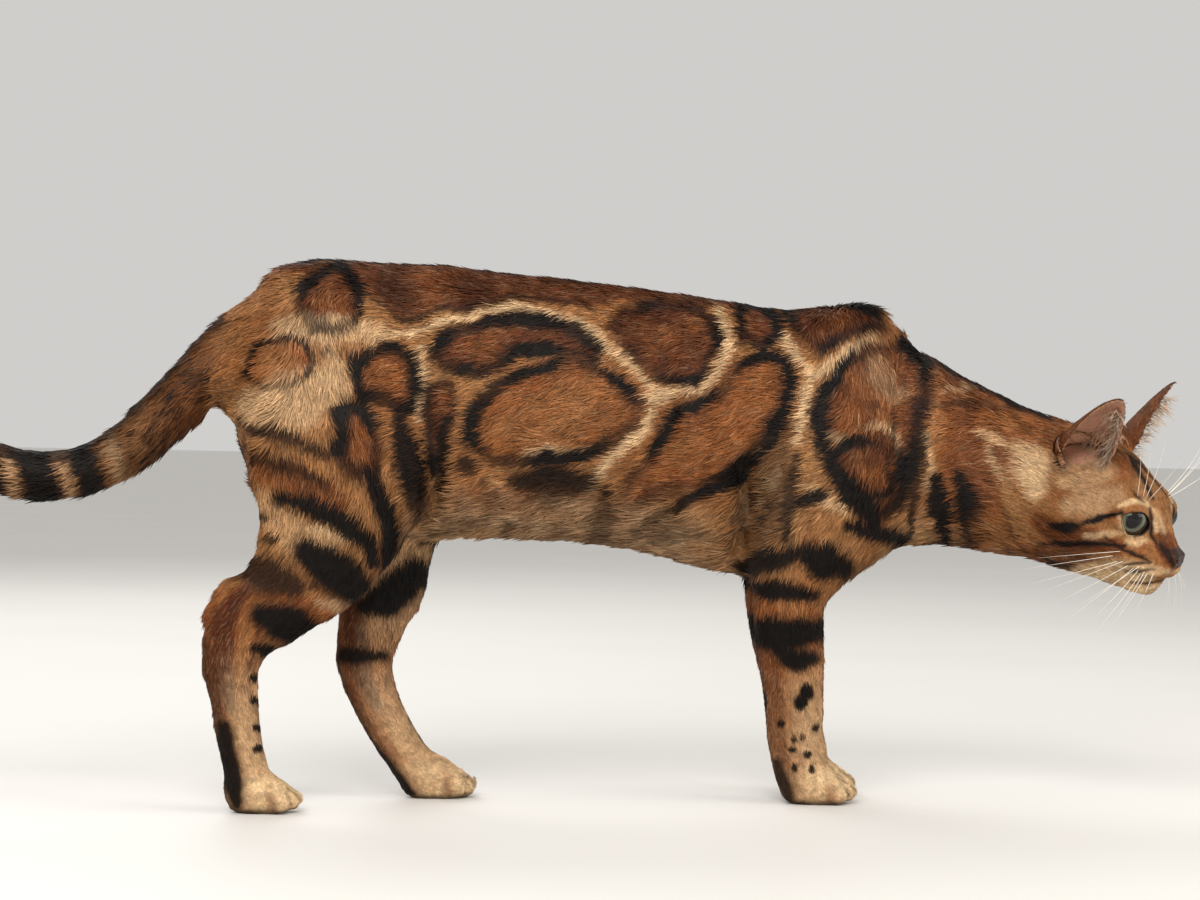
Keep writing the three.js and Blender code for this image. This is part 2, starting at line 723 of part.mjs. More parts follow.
/** Half spaces of the upper piece of a leg. */
function upperLeg(name, side) {
  const { top, apex, slope } = WEDGE[kindOf(name)];
  const [back, front] = REACH[name];
  const planes = [
    plane([0, 0, top], [0, 0, 1]),
    plane([0, 0, apex], [0, side * slope, -1]),
    plane([0, 0, 0], [0, side, 0]),
    plane([back, 0, 0], [1, 0, 0]),
    plane([front, 0, 0], [-1, 0, 0]),
  ];
  if (kindOf(name) === 'front') planes.push(flip(NECK_BACK));
  return planes;
}

/** Half spaces of one of the lower pieces of a leg. */
function lowerLeg(name, side, { bottom, top }) {
  return [
    plane([0, 0, top], [0, 0, -1]),
    bottom > 0 ? plane([0, 0, bottom], [0, 0, 1]) : FLOOR,
    plane([0, 0, 0], [0, side, 0]),
    plane([BETWEEN_LEGS, 0, 0], [kindOf(name) === 'front' ? 1 : -1, 0, 0]),
  ];
}

// ---------------------------------------------------------------- building the pieces
const group = new THREE.Group();

function add(name, solid, colour, roughness = 0.85) {
  const mesh = solid.getMesh();
  const geometry = new THREE.BufferGeometry();
  geometry.setAttribute('position', new THREE.BufferAttribute(mesh.vertProperties, 3));
  geometry.setIndex(new THREE.BufferAttribute(mesh.triVerts, 1));
  geometry.computeVertexNormals();
  const material = new THREE.MeshStandardMaterial({ color: colour, roughness, metalness: 0 });
  const piece = new THREE.Mesh(geometry, material);
  piece.name = name;
  group.add(piece);
}

const span = (min, max) => new THREE.Box3(new THREE.Vector3(...min), new THREE.Vector3(...max));
const cells = (x, y, z) => ({ x, y, z });

function buildTrunk() {
  const wedges = Object.entries(LEGS).map(([name, { side }]) => block(upperLeg(name, side)));
  const clear = (solid) => wedges.reduce((kept, wedge) => kept.subtract(wedge), solid);
  const rear = polygonise(span([-60, -80, 100], [130, 80, 330]), cells(21.5, 17.6, 18.8));
  add('rump', largest(trim(clear(rear),
    [flip(LOIN_BACK), plane([0, 0, WEDGE.hind.top], [0, 0, 1]), flip(TAIL_ROOT)])), COLOURS.coat);
  const middle = sleeve([[96, 0, 225], [170, 0, 222], [246, 0, 214]],
    { rings: 8, spokes: 22, reach: 120 });
  add('loin', largest(trim(clear(middle), [LOIN_BACK, flip(CHEST_BACK)])), COLOURS.flank);
  const front = polygonise(span([216, -80, 96], [410, 80, 320]), cells(20.4, 16.8, 18.2));
  add('chest', largest(trim(clear(front),
    [CHEST_BACK, flip(NECK_BACK), plane([0, 0, WEDGE.front.top], [0, 0, 1])])), COLOURS.coat);
}

function buildNeck() {
  const axis = [[352, 0, 205], [380, -4, 201], [410, -12, 196], [440, -26, 187], [468, -46, 178]];
  const whole = sleeve(axis, { rings: 8, spokes: 20, reach: 90 });
  add('neck', largest(trim(whole, [NECK_BACK, flip(HEAD_BACK)])), COLOURS.flank);
}

function buildTail() {
  const base = polygonise(span([-104, -34, 150], [10, 34, 310]), cells(11.6, 10, 11.6));
  add('tail_base', largest(trim(base, [TAIL_ROOT, TAIL_FLOOR, flip(TAIL_FIRST_JOINT)])),
    COLOURS.leg);
  const points = TAIL.map((s) => s.at);
  const middle = sleeve(points.slice(3, 9), { rings: 8, spokes: 12, reach: 24 });
  add('tail_middle', largest(trim(middle, [TAIL_FIRST_JOINT, flip(TAIL_SECOND_JOINT)])),
    COLOURS.black);
  const tip = polygonise(span([-240, -30, 150], [-130, 50, 270]), cells(10, 9, 10));
  add('tail_tip', largest(trim(tip, [TAIL_SECOND_JOINT])), COLOURS.black);
}

/** Axis of the lower leg, carried on a little past its last station. */
function lowerAxis(axis) {
  const [before, last] = axis.slice(-2);
  return [...axis.slice(4), last.map((value, i) => value + 0.6 * (value - before[i]))];
}

function buildLegs() {
  for (const [name, { side, axis, field }] of Object.entries(LEGS)) {
    const { min, max } = field.box;
    const [near, far] = side === LEFT ? [-8, 66] : [-66, 8];
    const tall = (bottom, top) => span(
      [min.x - 12, near, bottom - 18], [max.x + 14, far, top + 18]);
    const { top } = WEDGE[kindOf(name)];
    const upper = polygonise(tall(top, 222), cells(17, 12.6, 14.6));
    const upperName = kindOf(name) === 'front' ? 'upper_arm' : 'thigh';
    add(`${name}_${upperName}`, largest(trim(upper, upperLeg(name, side))), COLOURS.coat);
    for (const piece of LOWER_PIECES[kindOf(name)]) {
      const whole = piece.rings
        ? sleeve(lowerAxis(axis), { rings: piece.rings, spokes: LEG_SPOKES, reach: 60 })
        : polygonise(tall(piece.bottom, piece.top), cells(...piece.cell));
      const colour = piece.name === 'paw' ? COLOURS.toe : COLOURS.leg;
      add(`${name}_${piece.name}`, largest(trim(whole, lowerLeg(name, side, piece))), colour);
    }
  }
}

// ---------------------------------------------------------------- head pieces
const MOUTH = { corner: -36, up: -15, front: 6, bottom: -60 };
const NOSE = { back: -5.5, top: 7, bottom: -6, half: 8.5 };

/** Box between two corners of the head's frame. */
function headBox(min, max) {
  const size = new THREE.Vector3().subVectors(max, min);
  const centre = new THREE.Vector3().addVectors(min, max).multiplyScalar(0.5);
  const place = HEAD.clone().multiply(new THREE.Matrix4().setPosition(centre));
  return solidOf(new THREE.BoxGeometry(size.x, size.y, size.z), place);
}

function mouthBox(grow) {
  return headBox(
    new THREE.Vector3(MOUTH.corner - grow, -40, MOUTH.bottom),
    new THREE.Vector3(MOUTH.front, 40, MOUTH.up + grow));
}

function noseBox(grow) {
  return headBox(
    new THREE.Vector3(NOSE.back - grow, -NOSE.half - grow, NOSE.bottom - grow),
    new THREE.Vector3(10, NOSE.half + grow, NOSE.top + grow));
}

/** Frame of one eye: x along its line of sight. */
function eyeFrame(side) {
  const turn = new THREE.Euler(0, radians(-EYE_PITCH), radians(side * EYE_YAW), 'ZYX');
  const { forward, side: out, up } = EYE_CENTRE;
  return HEAD.clone().multiply(
    new THREE.Matrix4().makeRotationFromEuler(turn).setPosition(forward, side * out, up));
}

function eyeball(side, grow) {
  const ball = new THREE.SphereGeometry(EYE_RADIUS + grow, 14, 8);
  return solidOf(ball, eyeFrame(side));
}

/** Opening between the lids: a cone from the middle of the eye, no deeper than the lids. */
function eyeOpening(side) {
  const reach = EYE_RADIUS + 3 * LID_THICKNESS;
  const half = (size) => reach * Math.tan(Math.asin(size / 2 / EYE_RADIUS));
  const cone = new THREE.ConeGeometry(1, 1, 16).translate(0, -0.5, 0);
  cone.rotateZ(Math.PI / 2).scale(reach, half(EYE_OPENING.width), half(EYE_OPENING.height));
  return solidOf(cone, eyeFrame(side)).intersect(eyeball(side, reach - EYE_RADIUS));
}

function buildHead() {
  const box = span([-125, -52, -62], [12, 52, 56]);
  const size = cells(8.5, 7.6, 7.9);
  const skull = trim(polygonise(box, size, HEAD), [HEAD_BACK]);
  const grown = polygonise(box, size, HEAD, GAP);
  let face = skull.subtract(mouthBox(GAP)).subtract(noseBox(GAP));
  for (const [name, side] of [['left', LEFT], ['right', RIGHT]]) {
    face = face.subtract(eyeOpening(side)).subtract(eyeball(side, GAP));
    add(`eye_${name}`, eyeball(side, 0), COLOURS.eye, 0.08);
    const ear = earShell(side, EAR_TIPS[name], EAR_FACINGS[name], EAR_CUPS[name]).subtract(grown);
    add(`ear_${name}`, largest(ear), COLOURS.ear);
  }
  add('head', largest(face), COLOURS.face);
  add('jaw', largest(skull.intersect(mouthBox(0))), COLOURS.chin);
  add('nose', largest(skull.intersect(noseBox(0))), COLOURS.nose, 0.45);
}

/**
 * Ear: a leaf-shaped cup. Rows run from the root to the tip, columns around the cup from
 * its inner edge to its outer edge; the inner wall is the same shape, drawn in.
 */
function earShell(side, top, turned, cup) {
  const base = headPoint(EAR_BASE.forward, side * EAR_BASE.side, EAR_BASE.up);
  const tip = headPoint(top.forward, side * top.side, top.up);
  const rise = tip.clone().sub(base).normalize();
  const facing = headDirection(turned.forward, side * turned.side, turned.up);
  facing.addScaledVector(rise, -facing.dot(rise)).normalize();
  const across = new THREE.Vector3().crossVectors(rise, facing).normalize();
  const inward = headDirection(0, -side, 0);
  const wall = (row, column, inset) => {
    const { height, half, bend } = earRow(row);
    const angle = column * bend;
    const radius = half / Math.sin(Math.min(bend, Math.PI / 2));
    const lean = facing.clone().multiplyScalar((cup * radius - inset) * (0.35 - Math.cos(angle)));
    return base.clone().addScaledVector(rise, height - (inset ? inset * row : 0))
      .addScaledVector(inward, tuck(height) * (1 + Math.max(side * column, 0)))
      .addScaledVector(across, (radius - inset) * Math.sin(angle)).add(lean);
  };
  return shellSolid(wall);
}

/** How far the root of the ear is drawn in towards the skull, below its visible base. */
const tuck = (height) => 0.045 * Math.max(6 - height, 0) ** 2;

/** Height, half width and bend of the cup at one row, 0 at the root and 1 at the tip. */
function earRow(row) {
  const run = mix(row, Math.sin((row * Math.PI) / 2), 0.6);
  const height = mix(-EAR_ROOT, EAR_LENGTH, run);
  const t = Math.max(height, 0) / EAR_LENGTH;
  const half = (EAR_WIDTH / 2) * (1 - t ** 1.8) ** 0.7 + 1.5 * Math.sqrt(t) + 1.2 * (1 - row);
  return { height, half, bend: radians(mix(172, 58, run ** 0.55)) };
}

const EAR_ROWS = 8;
const EAR_COLUMNS = 6;

/** Closed shell from an outer and an inner wall, joined along their edges. */
function shellSolid(wall) {
  const positions = [];
  const index = (layer, i, j) => (layer * (EAR_ROWS + 1) + i) * (EAR_COLUMNS + 1) + j;
  for (const inset of [0, EAR_THICKNESS]) {
    for (let i = 0; i <= EAR_ROWS; i += 1) {
      for (let j = 0; j <= EAR_COLUMNS; j += 1) {
        positions.push(...wall(i / EAR_ROWS, (2 * j) / EAR_COLUMNS - 1, inset).toArray());
      }
    }
  }
  const triangles = [];
  const quad = (a, b, c, d) => triangles.push(a, b, c, a, c, d);
  for (let i = 0; i < EAR_ROWS; i += 1) {
    for (let j = 0; j < EAR_COLUMNS; j += 1) {
      quad(index(0, i, j), index(0, i, j + 1), index(0, i + 1, j + 1), index(0, i + 1, j));
      quad(index(1, i, j), index(1, i + 1, j), index(1, i + 1, j + 1), index(1, i, j + 1));
    }
    quad(index(0, i, 0), index(0, i + 1, 0), index(1, i + 1, 0), index(1, i, 0));
    quad(index(0, i, EAR_COLUMNS), index(1, i, EAR_COLUMNS),
      index(1, i + 1, EAR_COLUMNS), index(0, i + 1, EAR_COLUMNS));
  }
  for (let j = 0; j < EAR_COLUMNS; j += 1) {
    quad(index(0, 0, j), index(1, 0, j), index(1, 0, j + 1), index(0, 0, j + 1));
    quad(index(0, EAR_ROWS, j), index(0, EAR_ROWS, j + 1),
      index(1, EAR_ROWS, j + 1), index(1, EAR_ROWS, j));
  }
  return outward(positions, triangles);
}

/** Solid with its faces turned outwards, whichever way they were wound. */
function outward(positions, triangles) {
  const at = (i) => new THREE.Vector3().fromArray(positions, 3 * i);
  let volume = 0;
  for (let t = 0; t < triangles.length; t += 3) {
    const [a, b, c] = [at(triangles[t]), at(triangles[t + 1]), at(triangles[t + 2])];
    volume += a.dot(b.cross(c));
  }
  if (volume < 0) triangles.reverse();
  return solidFrom(positions, triangles);
}

buildTrunk();
buildNeck();
buildTail();
buildLegs();
buildHead();

/** Moves the whole cat so that the middle of its footprint stands at the origin. */
function centre() {
  const box = new THREE.Box3().setFromObject(group);
  group.position.set(-(box.min.x + box.max.x) / 2, -(box.min.y + box.max.y) / 2, 0);
}

centre();

export default group;
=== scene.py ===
"""A slim spotted cat in mid-step, head low and turned to its right, life-size.

One skin replaces the CAD's flesh nodes and lies inside them by the depth of the coat.
Tufts of fur stand on the skin as solid mesh, along the lie of the coat. Skin and tufts
take their colours from the same named markings. Shapes are worked out in millimetres in
the cat's own frame, and turned into metres in the row's frame where a mesh is made.
"""

import math

import bmesh
import bpy
import numpy as np
from mathutils import Matrix, Vector


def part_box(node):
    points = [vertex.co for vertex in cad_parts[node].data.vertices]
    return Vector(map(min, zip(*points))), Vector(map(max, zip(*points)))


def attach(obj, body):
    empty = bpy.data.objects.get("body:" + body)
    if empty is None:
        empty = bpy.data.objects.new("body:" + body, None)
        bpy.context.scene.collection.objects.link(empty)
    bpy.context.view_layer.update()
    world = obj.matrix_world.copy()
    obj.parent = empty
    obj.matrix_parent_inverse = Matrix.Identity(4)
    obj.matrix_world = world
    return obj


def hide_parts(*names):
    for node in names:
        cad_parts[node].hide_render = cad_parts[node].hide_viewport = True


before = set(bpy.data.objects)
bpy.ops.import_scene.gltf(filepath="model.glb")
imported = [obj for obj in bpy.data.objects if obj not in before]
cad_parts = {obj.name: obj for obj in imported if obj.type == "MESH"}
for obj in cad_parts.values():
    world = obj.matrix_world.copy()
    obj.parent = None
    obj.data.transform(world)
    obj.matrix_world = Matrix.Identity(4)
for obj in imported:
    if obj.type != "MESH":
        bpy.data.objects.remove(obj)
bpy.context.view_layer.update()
RNG = np.random.default_rng(7)

# ---------------------------------------------------------------- frames
MM = 0.001
RIGHT, LEFT = -1, 1
SIDES = {RIGHT: "right", LEFT: "left"}

HEAD_YAW, HEAD_PITCH, HEAD_ROLL = -50.0, 30.0, -4.0     # degrees
NOSE_TIP = np.array([503.6, -95.0, 144.0])              # origin of the head's frame
EYE_CENTRE = np.array([-34.2, 16.8, 9.2])               # forward, sideways, up from there
EYE_YAW, EYE_PITCH = 30.0, 6.0
EYE_RADIUS = 11.0


def turn(axis, degrees):
    """Rotation matrix about one of the axes x, y or z."""
    return np.array(Matrix.Rotation(math.radians(degrees), 3, axis))


def unit(v):
    return v / np.maximum(np.linalg.norm(v, axis=-1, keepdims=True), 1e-9)


HEAD = turn("Z", HEAD_YAW) @ turn("Y", HEAD_PITCH) @ turn("X", -HEAD_ROLL)


def on_side(place, side):
    """A place or direction given for the left side, on either side."""
    return np.asarray(place) * [1, side, 1]


def to_head(points):
    return (points - NOSE_TIP) @ HEAD


def from_head(points):
    return NOSE_TIP + np.asarray(points, float) @ HEAD.T


def row_shift():
    """Where the cat's frame lies in the row's frame, in mm, read off the eye nodes."""
    middle = np.mean([np.array(c) for n in ("eye_left", "eye_right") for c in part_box(n)], axis=0)
    return middle / MM - from_head(EYE_CENTRE * [1, 0, 1])


SHIFT = row_shift()


def to_row(points):
    return (np.asarray(points, float) + SHIFT) * MM


# ---------------------------------------------------------------- camera
IMAGE_SIZE = (1200, 900)
FOCAL_PX = 2530.0
SENSOR_MM = 36.0
CAMERA_YAW = 13.0                                       # degrees off the cat's right side
CAMERA_ROLL = 1.1
CAMERA_AT = np.array([-135.6, -1403.4, 200.0])


def camera_axes():
    """Right, up and forward of the camera in the cat's frame."""
    yaw, roll = math.radians(CAMERA_YAW), math.radians(CAMERA_ROLL)
    level = np.array([math.cos(yaw), -math.sin(yaw), 0.0])
    forward = np.array([math.sin(yaw), math.cos(yaw), 0.0])
    upright = np.array([0.0, 0.0, 1.0])
    right = level * math.cos(roll) + upright * math.sin(roll)
    up = upright * math.cos(roll) - level * math.sin(roll)
    return right, up, forward


def as_seen(points):
    """Where points lie in the 1200x900 picture of the camera."""
    right, up, forward = camera_axes()
    ray = points - CAMERA_AT
    depth = ray @ forward
    x = IMAGE_SIZE[0] / 2 + FOCAL_PX * (ray @ right) / depth
    y = IMAGE_SIZE[1] / 2 - FOCAL_PX * (ray @ up) / depth
    return np.stack([x, y], axis=1)


def make_camera():
    right, up, forward = camera_axes()
    data = bpy.data.cameras.new("camera")
    data.sensor_width = SENSOR_MM
    data.lens = FOCAL_PX / IMAGE_SIZE[0] * SENSOR_MM
    camera = bpy.data.objects.new("camera", data)
    axes = np.stack([right, up, -forward], axis=1)
    camera.matrix_world = Matrix.LocRotScale(
        Vector(to_row(CAMERA_AT)), Matrix(axes).to_quaternion(), None)
    bpy.context.scene.collection.objects.link(camera)
    bpy.context.scene.camera = camera


# ---------------------------------------------------------------- noise
def lattice(cell, seed):
    """A fixed random number from 0 to 1 for each whole-numbered cell."""
    c = cell.astype(np.uint32)
    h = c[:, 0] * np.uint32(374761393) + c[:, 1] * np.uint32(668265263)
    h += c[:, 2] * np.uint32(2246822519) + np.uint32(seed * 3266489917 % 2**32)
    h = (h ^ (h >> np.uint32(13))) * np.uint32(1274126177)
    return ((h ^ (h >> np.uint32(16))) & np.uint32(0xFFFFFF)) / 0xFFFFFF


def noise(points, size, seed=0):
    """Smooth noise from -1 to 1, with features of about the given size."""
    p = points / size + 1000.0
    cell = np.floor(p).astype(np.int64)
    t = p - cell
    t = t * t * (3 - 2 * t)
    total = 0.0
    for corner in range(8):
        pick = np.array([corner & 1, corner >> 1 & 1, corner >> 2 & 1])
        weight = np.prod(np.where(pick, t, 1 - t), axis=1)
        total = total + weight * lattice(cell + pick, seed)
    return 2 * total - 1


def step(x, low, high):
    """Smooth step from 0 at low to 1 at high."""
    t = np.clip((x - low) / (high - low), 0, 1)
    return t * t * (3 - 2 * t)


def fade(x, low, high):
    """Smooth step from 1 at low to 0 at high."""
    return 1 - step(x, low, high)


def bump(x, middle, width):
    """1 at the middle, less to either side of it."""
    return np.exp(-((x - middle) / width) ** 2)


def apart(points, place):
    """Distance of each point from a place."""
    return np.linalg.norm(points - place, axis=1)


def blob(points, middle, spread):
    """1 at a place, less all round it."""
    return bump(apart(points, middle), 0, spread)


def wander(points, size, seed):
    """A pair of noises for each point, to shift its place on a chart."""
    return np.stack([noise(points, size, seed), noise(points, size, seed + 1)], axis=1)


# ---------------------------------------------------------------- meshes as arrays
def read(collection, name, width, kind=np.float32):
    values = np.empty(len(collection) * width, kind)
    collection.foreach_get(name, values)
    return values.reshape(-1, width) if width > 1 else values


def corner_normals(points, triangles):
    """Area-weighted normal at each point."""
    a, b, c = (points[triangles[:, k]] for k in range(3))
    face = np.cross(b - a, c - a)
    total = np.zeros_like(points)
    for k in range(3):
        for axis in range(3):
            total[:, axis] += np.bincount(triangles[:, k], face[:, axis], len(points))
    return unit(total)


def triangles_of(faces):
    """Triangles of a list of faces with three or four corners."""
    rows = [(f[0], f[k], f[k + 1]) for f in faces for k in range(1, len(f) - 1)]
    return np.array(rows, int)


def node_arrays(name):
    """Points and triangles of a CAD node in the cat's frame, welded."""
    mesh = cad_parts[name].data
    mesh.calc_loop_triangles()
    points = read(mesh.vertices, "co", 3).astype(float) / MM - SHIFT
    triangles = read(mesh.loop_triangles, "vertices", 3, np.int32)
    _, first, inverse = np.unique(
        np.round(points, 2), axis=0, return_index=True, return_inverse=True)
    return points[first], inverse.reshape(-1)[triangles]


def joined(parts):
    """One points array and one faces array from several."""
    points, faces, start = [], [], 0
    for p, f in parts:
        points.append(p)
        faces.append(np.asarray(f) + start)
        start += len(p)
    return np.concatenate(points), np.concatenate(faces)


def new_mesh(name, points, faces):
    mesh = bpy.data.meshes.new(name)
    mesh.from_pydata(np.asarray(points).tolist(), [], [list(map(int, f)) for f in faces])
    mesh.update()
    return mesh


def remeshed(parts, voxel):
    """The outer surface of overlapping solids, as quads of one size."""
    points, faces = joined(parts)
    thing = bpy.data.objects.new("solids", new_mesh("solids", points, faces))
    bpy.context.scene.collection.objects.link(thing)
    modifier = thing.modifiers.new("voxels", "REMESH")
    modifier.mode = "VOXEL"
    modifier.voxel_size = voxel
    mesh = bpy.data.meshes.new_from_object(thing.evaluated_get(
        bpy.context.evaluated_depsgraph_get()))
    points = read(mesh.vertices, "co", 3).astype(float)
    quads = read(mesh.loops, "vertex_index", 1, np.int32).reshape(-1, 4)
    bpy.data.objects.remove(thing)
    bpy.data.meshes.remove(mesh)
    return largest_part(points, quads)


def edges_of(faces):
    """Each edge once, as pairs of point numbers."""
    pairs = np.concatenate([
        np.stack([faces[:, k], np.roll(faces, -1, axis=1)[:, k]], axis=1)
        for k in range(faces.shape[1])])
    pairs = pairs[pairs[:, 0] != pairs[:, 1]]
    return np.unique(np.sort(pairs, axis=1), axis=0)


def largest_part(points, faces):
    """The largest connected part of a mesh."""
    a, b = edges_of(faces).T
    label = np.arange(len(points))
    while True:
        low = np.minimum(label[a], label[b])
        new = label.copy()
        np.minimum.at(new, a, low)
        np.minimum.at(new, b, low)
        new = new[new]
        if np.array_equal(new, label):
            break
        label = new
    keep = label == np.bincount(label).argmax()
    return packed(points, faces[keep[faces[:, 0]]])


def packed(points, faces):
    """The mesh without the points that no face uses."""
    used = np.zeros(len(points), bool)
    used[faces.ravel()] = True
    number = np.cumsum(used) - 1
    return points[used], number[faces]


def neighbour_mean(points, edges):
    """The mean of each point's neighbours along the edges."""
    a, b = edges.T
    count = np.bincount(edges.ravel(), minlength=len(points))
    total = np.stack([
        np.bincount(a, line[b], len(line)) + np.bincount(b, line[a], len(line))
        for line in points.T], axis=1)
    return total / np.maximum(count, 1)[:, None]


def evened(points, edges, weight, strengths):
    """Moves points towards their neighbours in rounds; weight says where, from 0 to 1."""
    weight = np.broadcast_to(weight, len(points))[:, None]
    for strength in strengths:
        points = points + strength * weight * (neighbour_mean(points, edges) - points)
    return points


def smoothed(points, edges, rounds, weight=1.0, back=0.63):
    """Evens out a surface without shrinking it: each round goes in and then back out."""
    return evened(points, edges, weight, [0.6, -back] * rounds)


def strip(first, second):
    """Quads between two rows of point numbers."""
    quads = np.stack([first[:-1], first[1:], second[1:], second[:-1]], axis=-1)
    return quads.reshape(-1, 4)


def tube(rows):
    """Quads between rows of point numbers that run round and close on themselves."""
    ahead = np.roll(rows, -1, axis=1)
    return np.stack([rows[:-1], ahead[:-1], ahead[1:], rows[1:]], axis=-1).reshape(-1, 4)


# ---------------------------------------------------------------- the CAD solids to cover
GROW = 0.25                       # closes the parting gaps between the nodes
BODY_VOXEL = 2.8
HEAD_VOXEL = 1.15
LID_RADIUS = 12.3                 # outer surface of the eyelids
HEAD_NODES = ("head", "jaw", "nose")
EYE_NODES = ("eye_left", "eye_right")
EAR_NODES = ("ear_left", "ear_right")
FLESH = [n for n in sorted(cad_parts) if n not in EYE_NODES]


def grown(name, amount=GROW):
    points, triangles = node_arrays(name)
    return points + amount * corner_normals(points, triangles), triangles


def ball(centre, radius, rings=24):
    """Sphere as triangles."""
    made = bmesh.new()
    bmesh.ops.create_uvsphere(made, u_segments=2 * rings, v_segments=rings, radius=radius)
    bmesh.ops.triangulate(made, faces=made.faces)
    points = np.array([v.co for v in made.verts])
    faces = np.array([[v.index for v in f.verts] for f in made.faces])
    made.free()
    return points + centre, faces


def eye_axes(side):
    """Sight, sideways and up of an eye, as the columns of a matrix in the cat's frame."""
    return HEAD @ turn("Z", side * EYE_YAW) @ turn("Y", -EYE_PITCH) @ np.diag([1, side, 1])


def eye_centre(side):
    return from_head(on_side(EYE_CENTRE, side))


# Ears, on the same measures as the CAD's, with fine rows and columns.
EAR_LENGTH, EAR_WIDTH, EAR_THICKNESS, EAR_ROOT = 48.5, 31.0, 2.0, 15.0
EAR_BASE = np.array([-76.0, 25.0, 28.0])
EAR_TIPS = {LEFT: np.array([-69.0, 37.0, 76.0]), RIGHT: np.array([-60.0, 41.0, 71.0])}
EAR_FACINGS = {LEFT: np.array([0.88, 0.45, -0.15]), RIGHT: np.array([0.8, 0.58, -0.15])}
EAR_CUPS = {LEFT: 0.55, RIGHT: 0.85}      # depth of the cup; 1 would be round
EAR_BENDS = 172, 58               # degrees the wall turns to each side, at root and tip
EAR_TUCK, EAR_TUCK_BELOW = 0.045, 6       # how the foot of the ear runs in under the skull
EAR_ROWS, EAR_COLUMNS = 44, 30


def ear_axes(side):
    """Rise, facing and sideways directions of an ear, in the head's frame."""
    rise = unit(on_side(EAR_TIPS[side], side) - on_side(EAR_BASE, side))
    facing = unit(on_side(EAR_FACINGS[side], side))
    facing = unit(facing - facing @ rise * rise)
    return rise, facing, unit(np.cross(rise, facing))


def ear_wall(side, inset):
    """Grid of points on one wall of the ear's cup, in the head's frame."""
    rise, facing, across = ear_axes(side)
    row, column = np.meshgrid(
        np.linspace(0, 1, EAR_ROWS), np.linspace(-1, 1, EAR_COLUMNS), indexing="ij")
    run = 0.4 * row + 0.6 * np.sin(row * math.pi / 2)
    height = -EAR_ROOT + run * (EAR_LENGTH + EAR_ROOT)
    t = np.maximum(height, 0) / EAR_LENGTH
    half = EAR_WIDTH / 2 * (1 - t**1.8) ** 0.7 + 1.5 * np.sqrt(t) + 1.2 * (1 - row)
    bend = np.radians(EAR_BENDS[0] + (EAR_BENDS[1] - EAR_BENDS[0]) * run**0.55)
    radius = half / np.sin(np.minimum(bend, math.pi / 2))
    depth = EAR_CUPS[side] * radius - inset
    angle = column * bend
    tuck = EAR_TUCK * np.maximum(EAR_TUCK_BELOW - height, 0) ** 2
    tuck *= 1 + np.maximum(side * column, 0)
    return (
        on_side(EAR_BASE, side)
        + (height - inset * row)[..., None] * rise
        + tuck[..., None] * np.array([0, -side, 0])
        + ((radius - inset) * np.sin(angle))[..., None] * across
        + (depth * (0.35 - np.cos(angle)))[..., None] * facing)


def ear_solid(side):
    """Closed shell between the outer and the inner wall of the ear."""
    walls = [ear_wall(side, inset).reshape(-1, 3) for inset in (0.0, EAR_THICKNESS)]
    index = np.arange(2 * len(walls[0])).reshape(2, EAR_ROWS, EAR_COLUMNS)
    faces = [strip(row, above) for layer in index for row, above in zip(layer, layer[1:])]
    rims = index[:, :, 0], index[:, :, -1], index[:, 0, :], index[:, -1, :]
    faces += [strip(*rim) for rim in rims]
    return from_head(np.concatenate(walls)), triangles_of(np.concatenate(faces))


# ---------------------------------------------------------------- the skin's shape
NECK_CUT = (from_head([-94, 0, 0]), HEAD @ unit(np.array([0.93, 0, 0.36])))
SEAM = 1.4                        # the fine head and the coarser body meet across this gap
PAW_HEIGHT = 34.0                 # the skin's mesh is twice as fine below this
FACE_REACH = 27.0                 # and nearer than this to the tip of the nose


def cut(points, faces, at, normal, refine):
    """Keeps the side that the normal points to, and halves the edges that refine picks.

    Returns points, faces and the open rim."""
    made = bmesh.new()
    for p in points:
        made.verts.new(p)
    made.verts.ensure_lookup_table()
    for f in faces:
        made.faces.new([made.verts[i] for i in f])
    geometry = made.verts[:] + made.edges[:] + made.faces[:]
    bmesh.ops.bisect_plane(
        made, geom=geometry, dist=1e-4, plane_co=at, plane_no=normal, clear_inner=True)
    fine = [e for e in made.edges if refine(e.verts[0].co) and refine(e.verts[1].co)]
    bmesh.ops.subdivide_edges(made, edges=fine, cuts=1, use_grid_fill=True)
    bmesh.ops.triangulate(made, faces=[f for f in made.faces if len(f.verts) > 4])
    made.verts.index_update()
    new_points = np.array([v.co for v in made.verts])
    new_faces = [[v.index for v in f.verts] for f in made.faces]
    rim = ring([(e.verts[0].index, e.verts[1].index) for e in made.edges if e.is_boundary])
    made.free()
    return new_points, new_faces, rim


def ring(pairs):
    """The longest closed chain of edges, as point numbers in order."""
    near = {}
    for a, b in pairs:
        near.setdefault(a, []).append(b)
        near.setdefault(b, []).append(a)
    best = []
    while near:
        start = next(iter(near))
        chain, here = [start], start
        while near.get(here):
            there = near[here].pop()
            near[there].remove(here)
            here = there
            if here == start:
                break
            chain.append(here)
        near = {k: v for k, v in near.items() if v}
        if len(chain) > len(best):
            best = chain
    return best


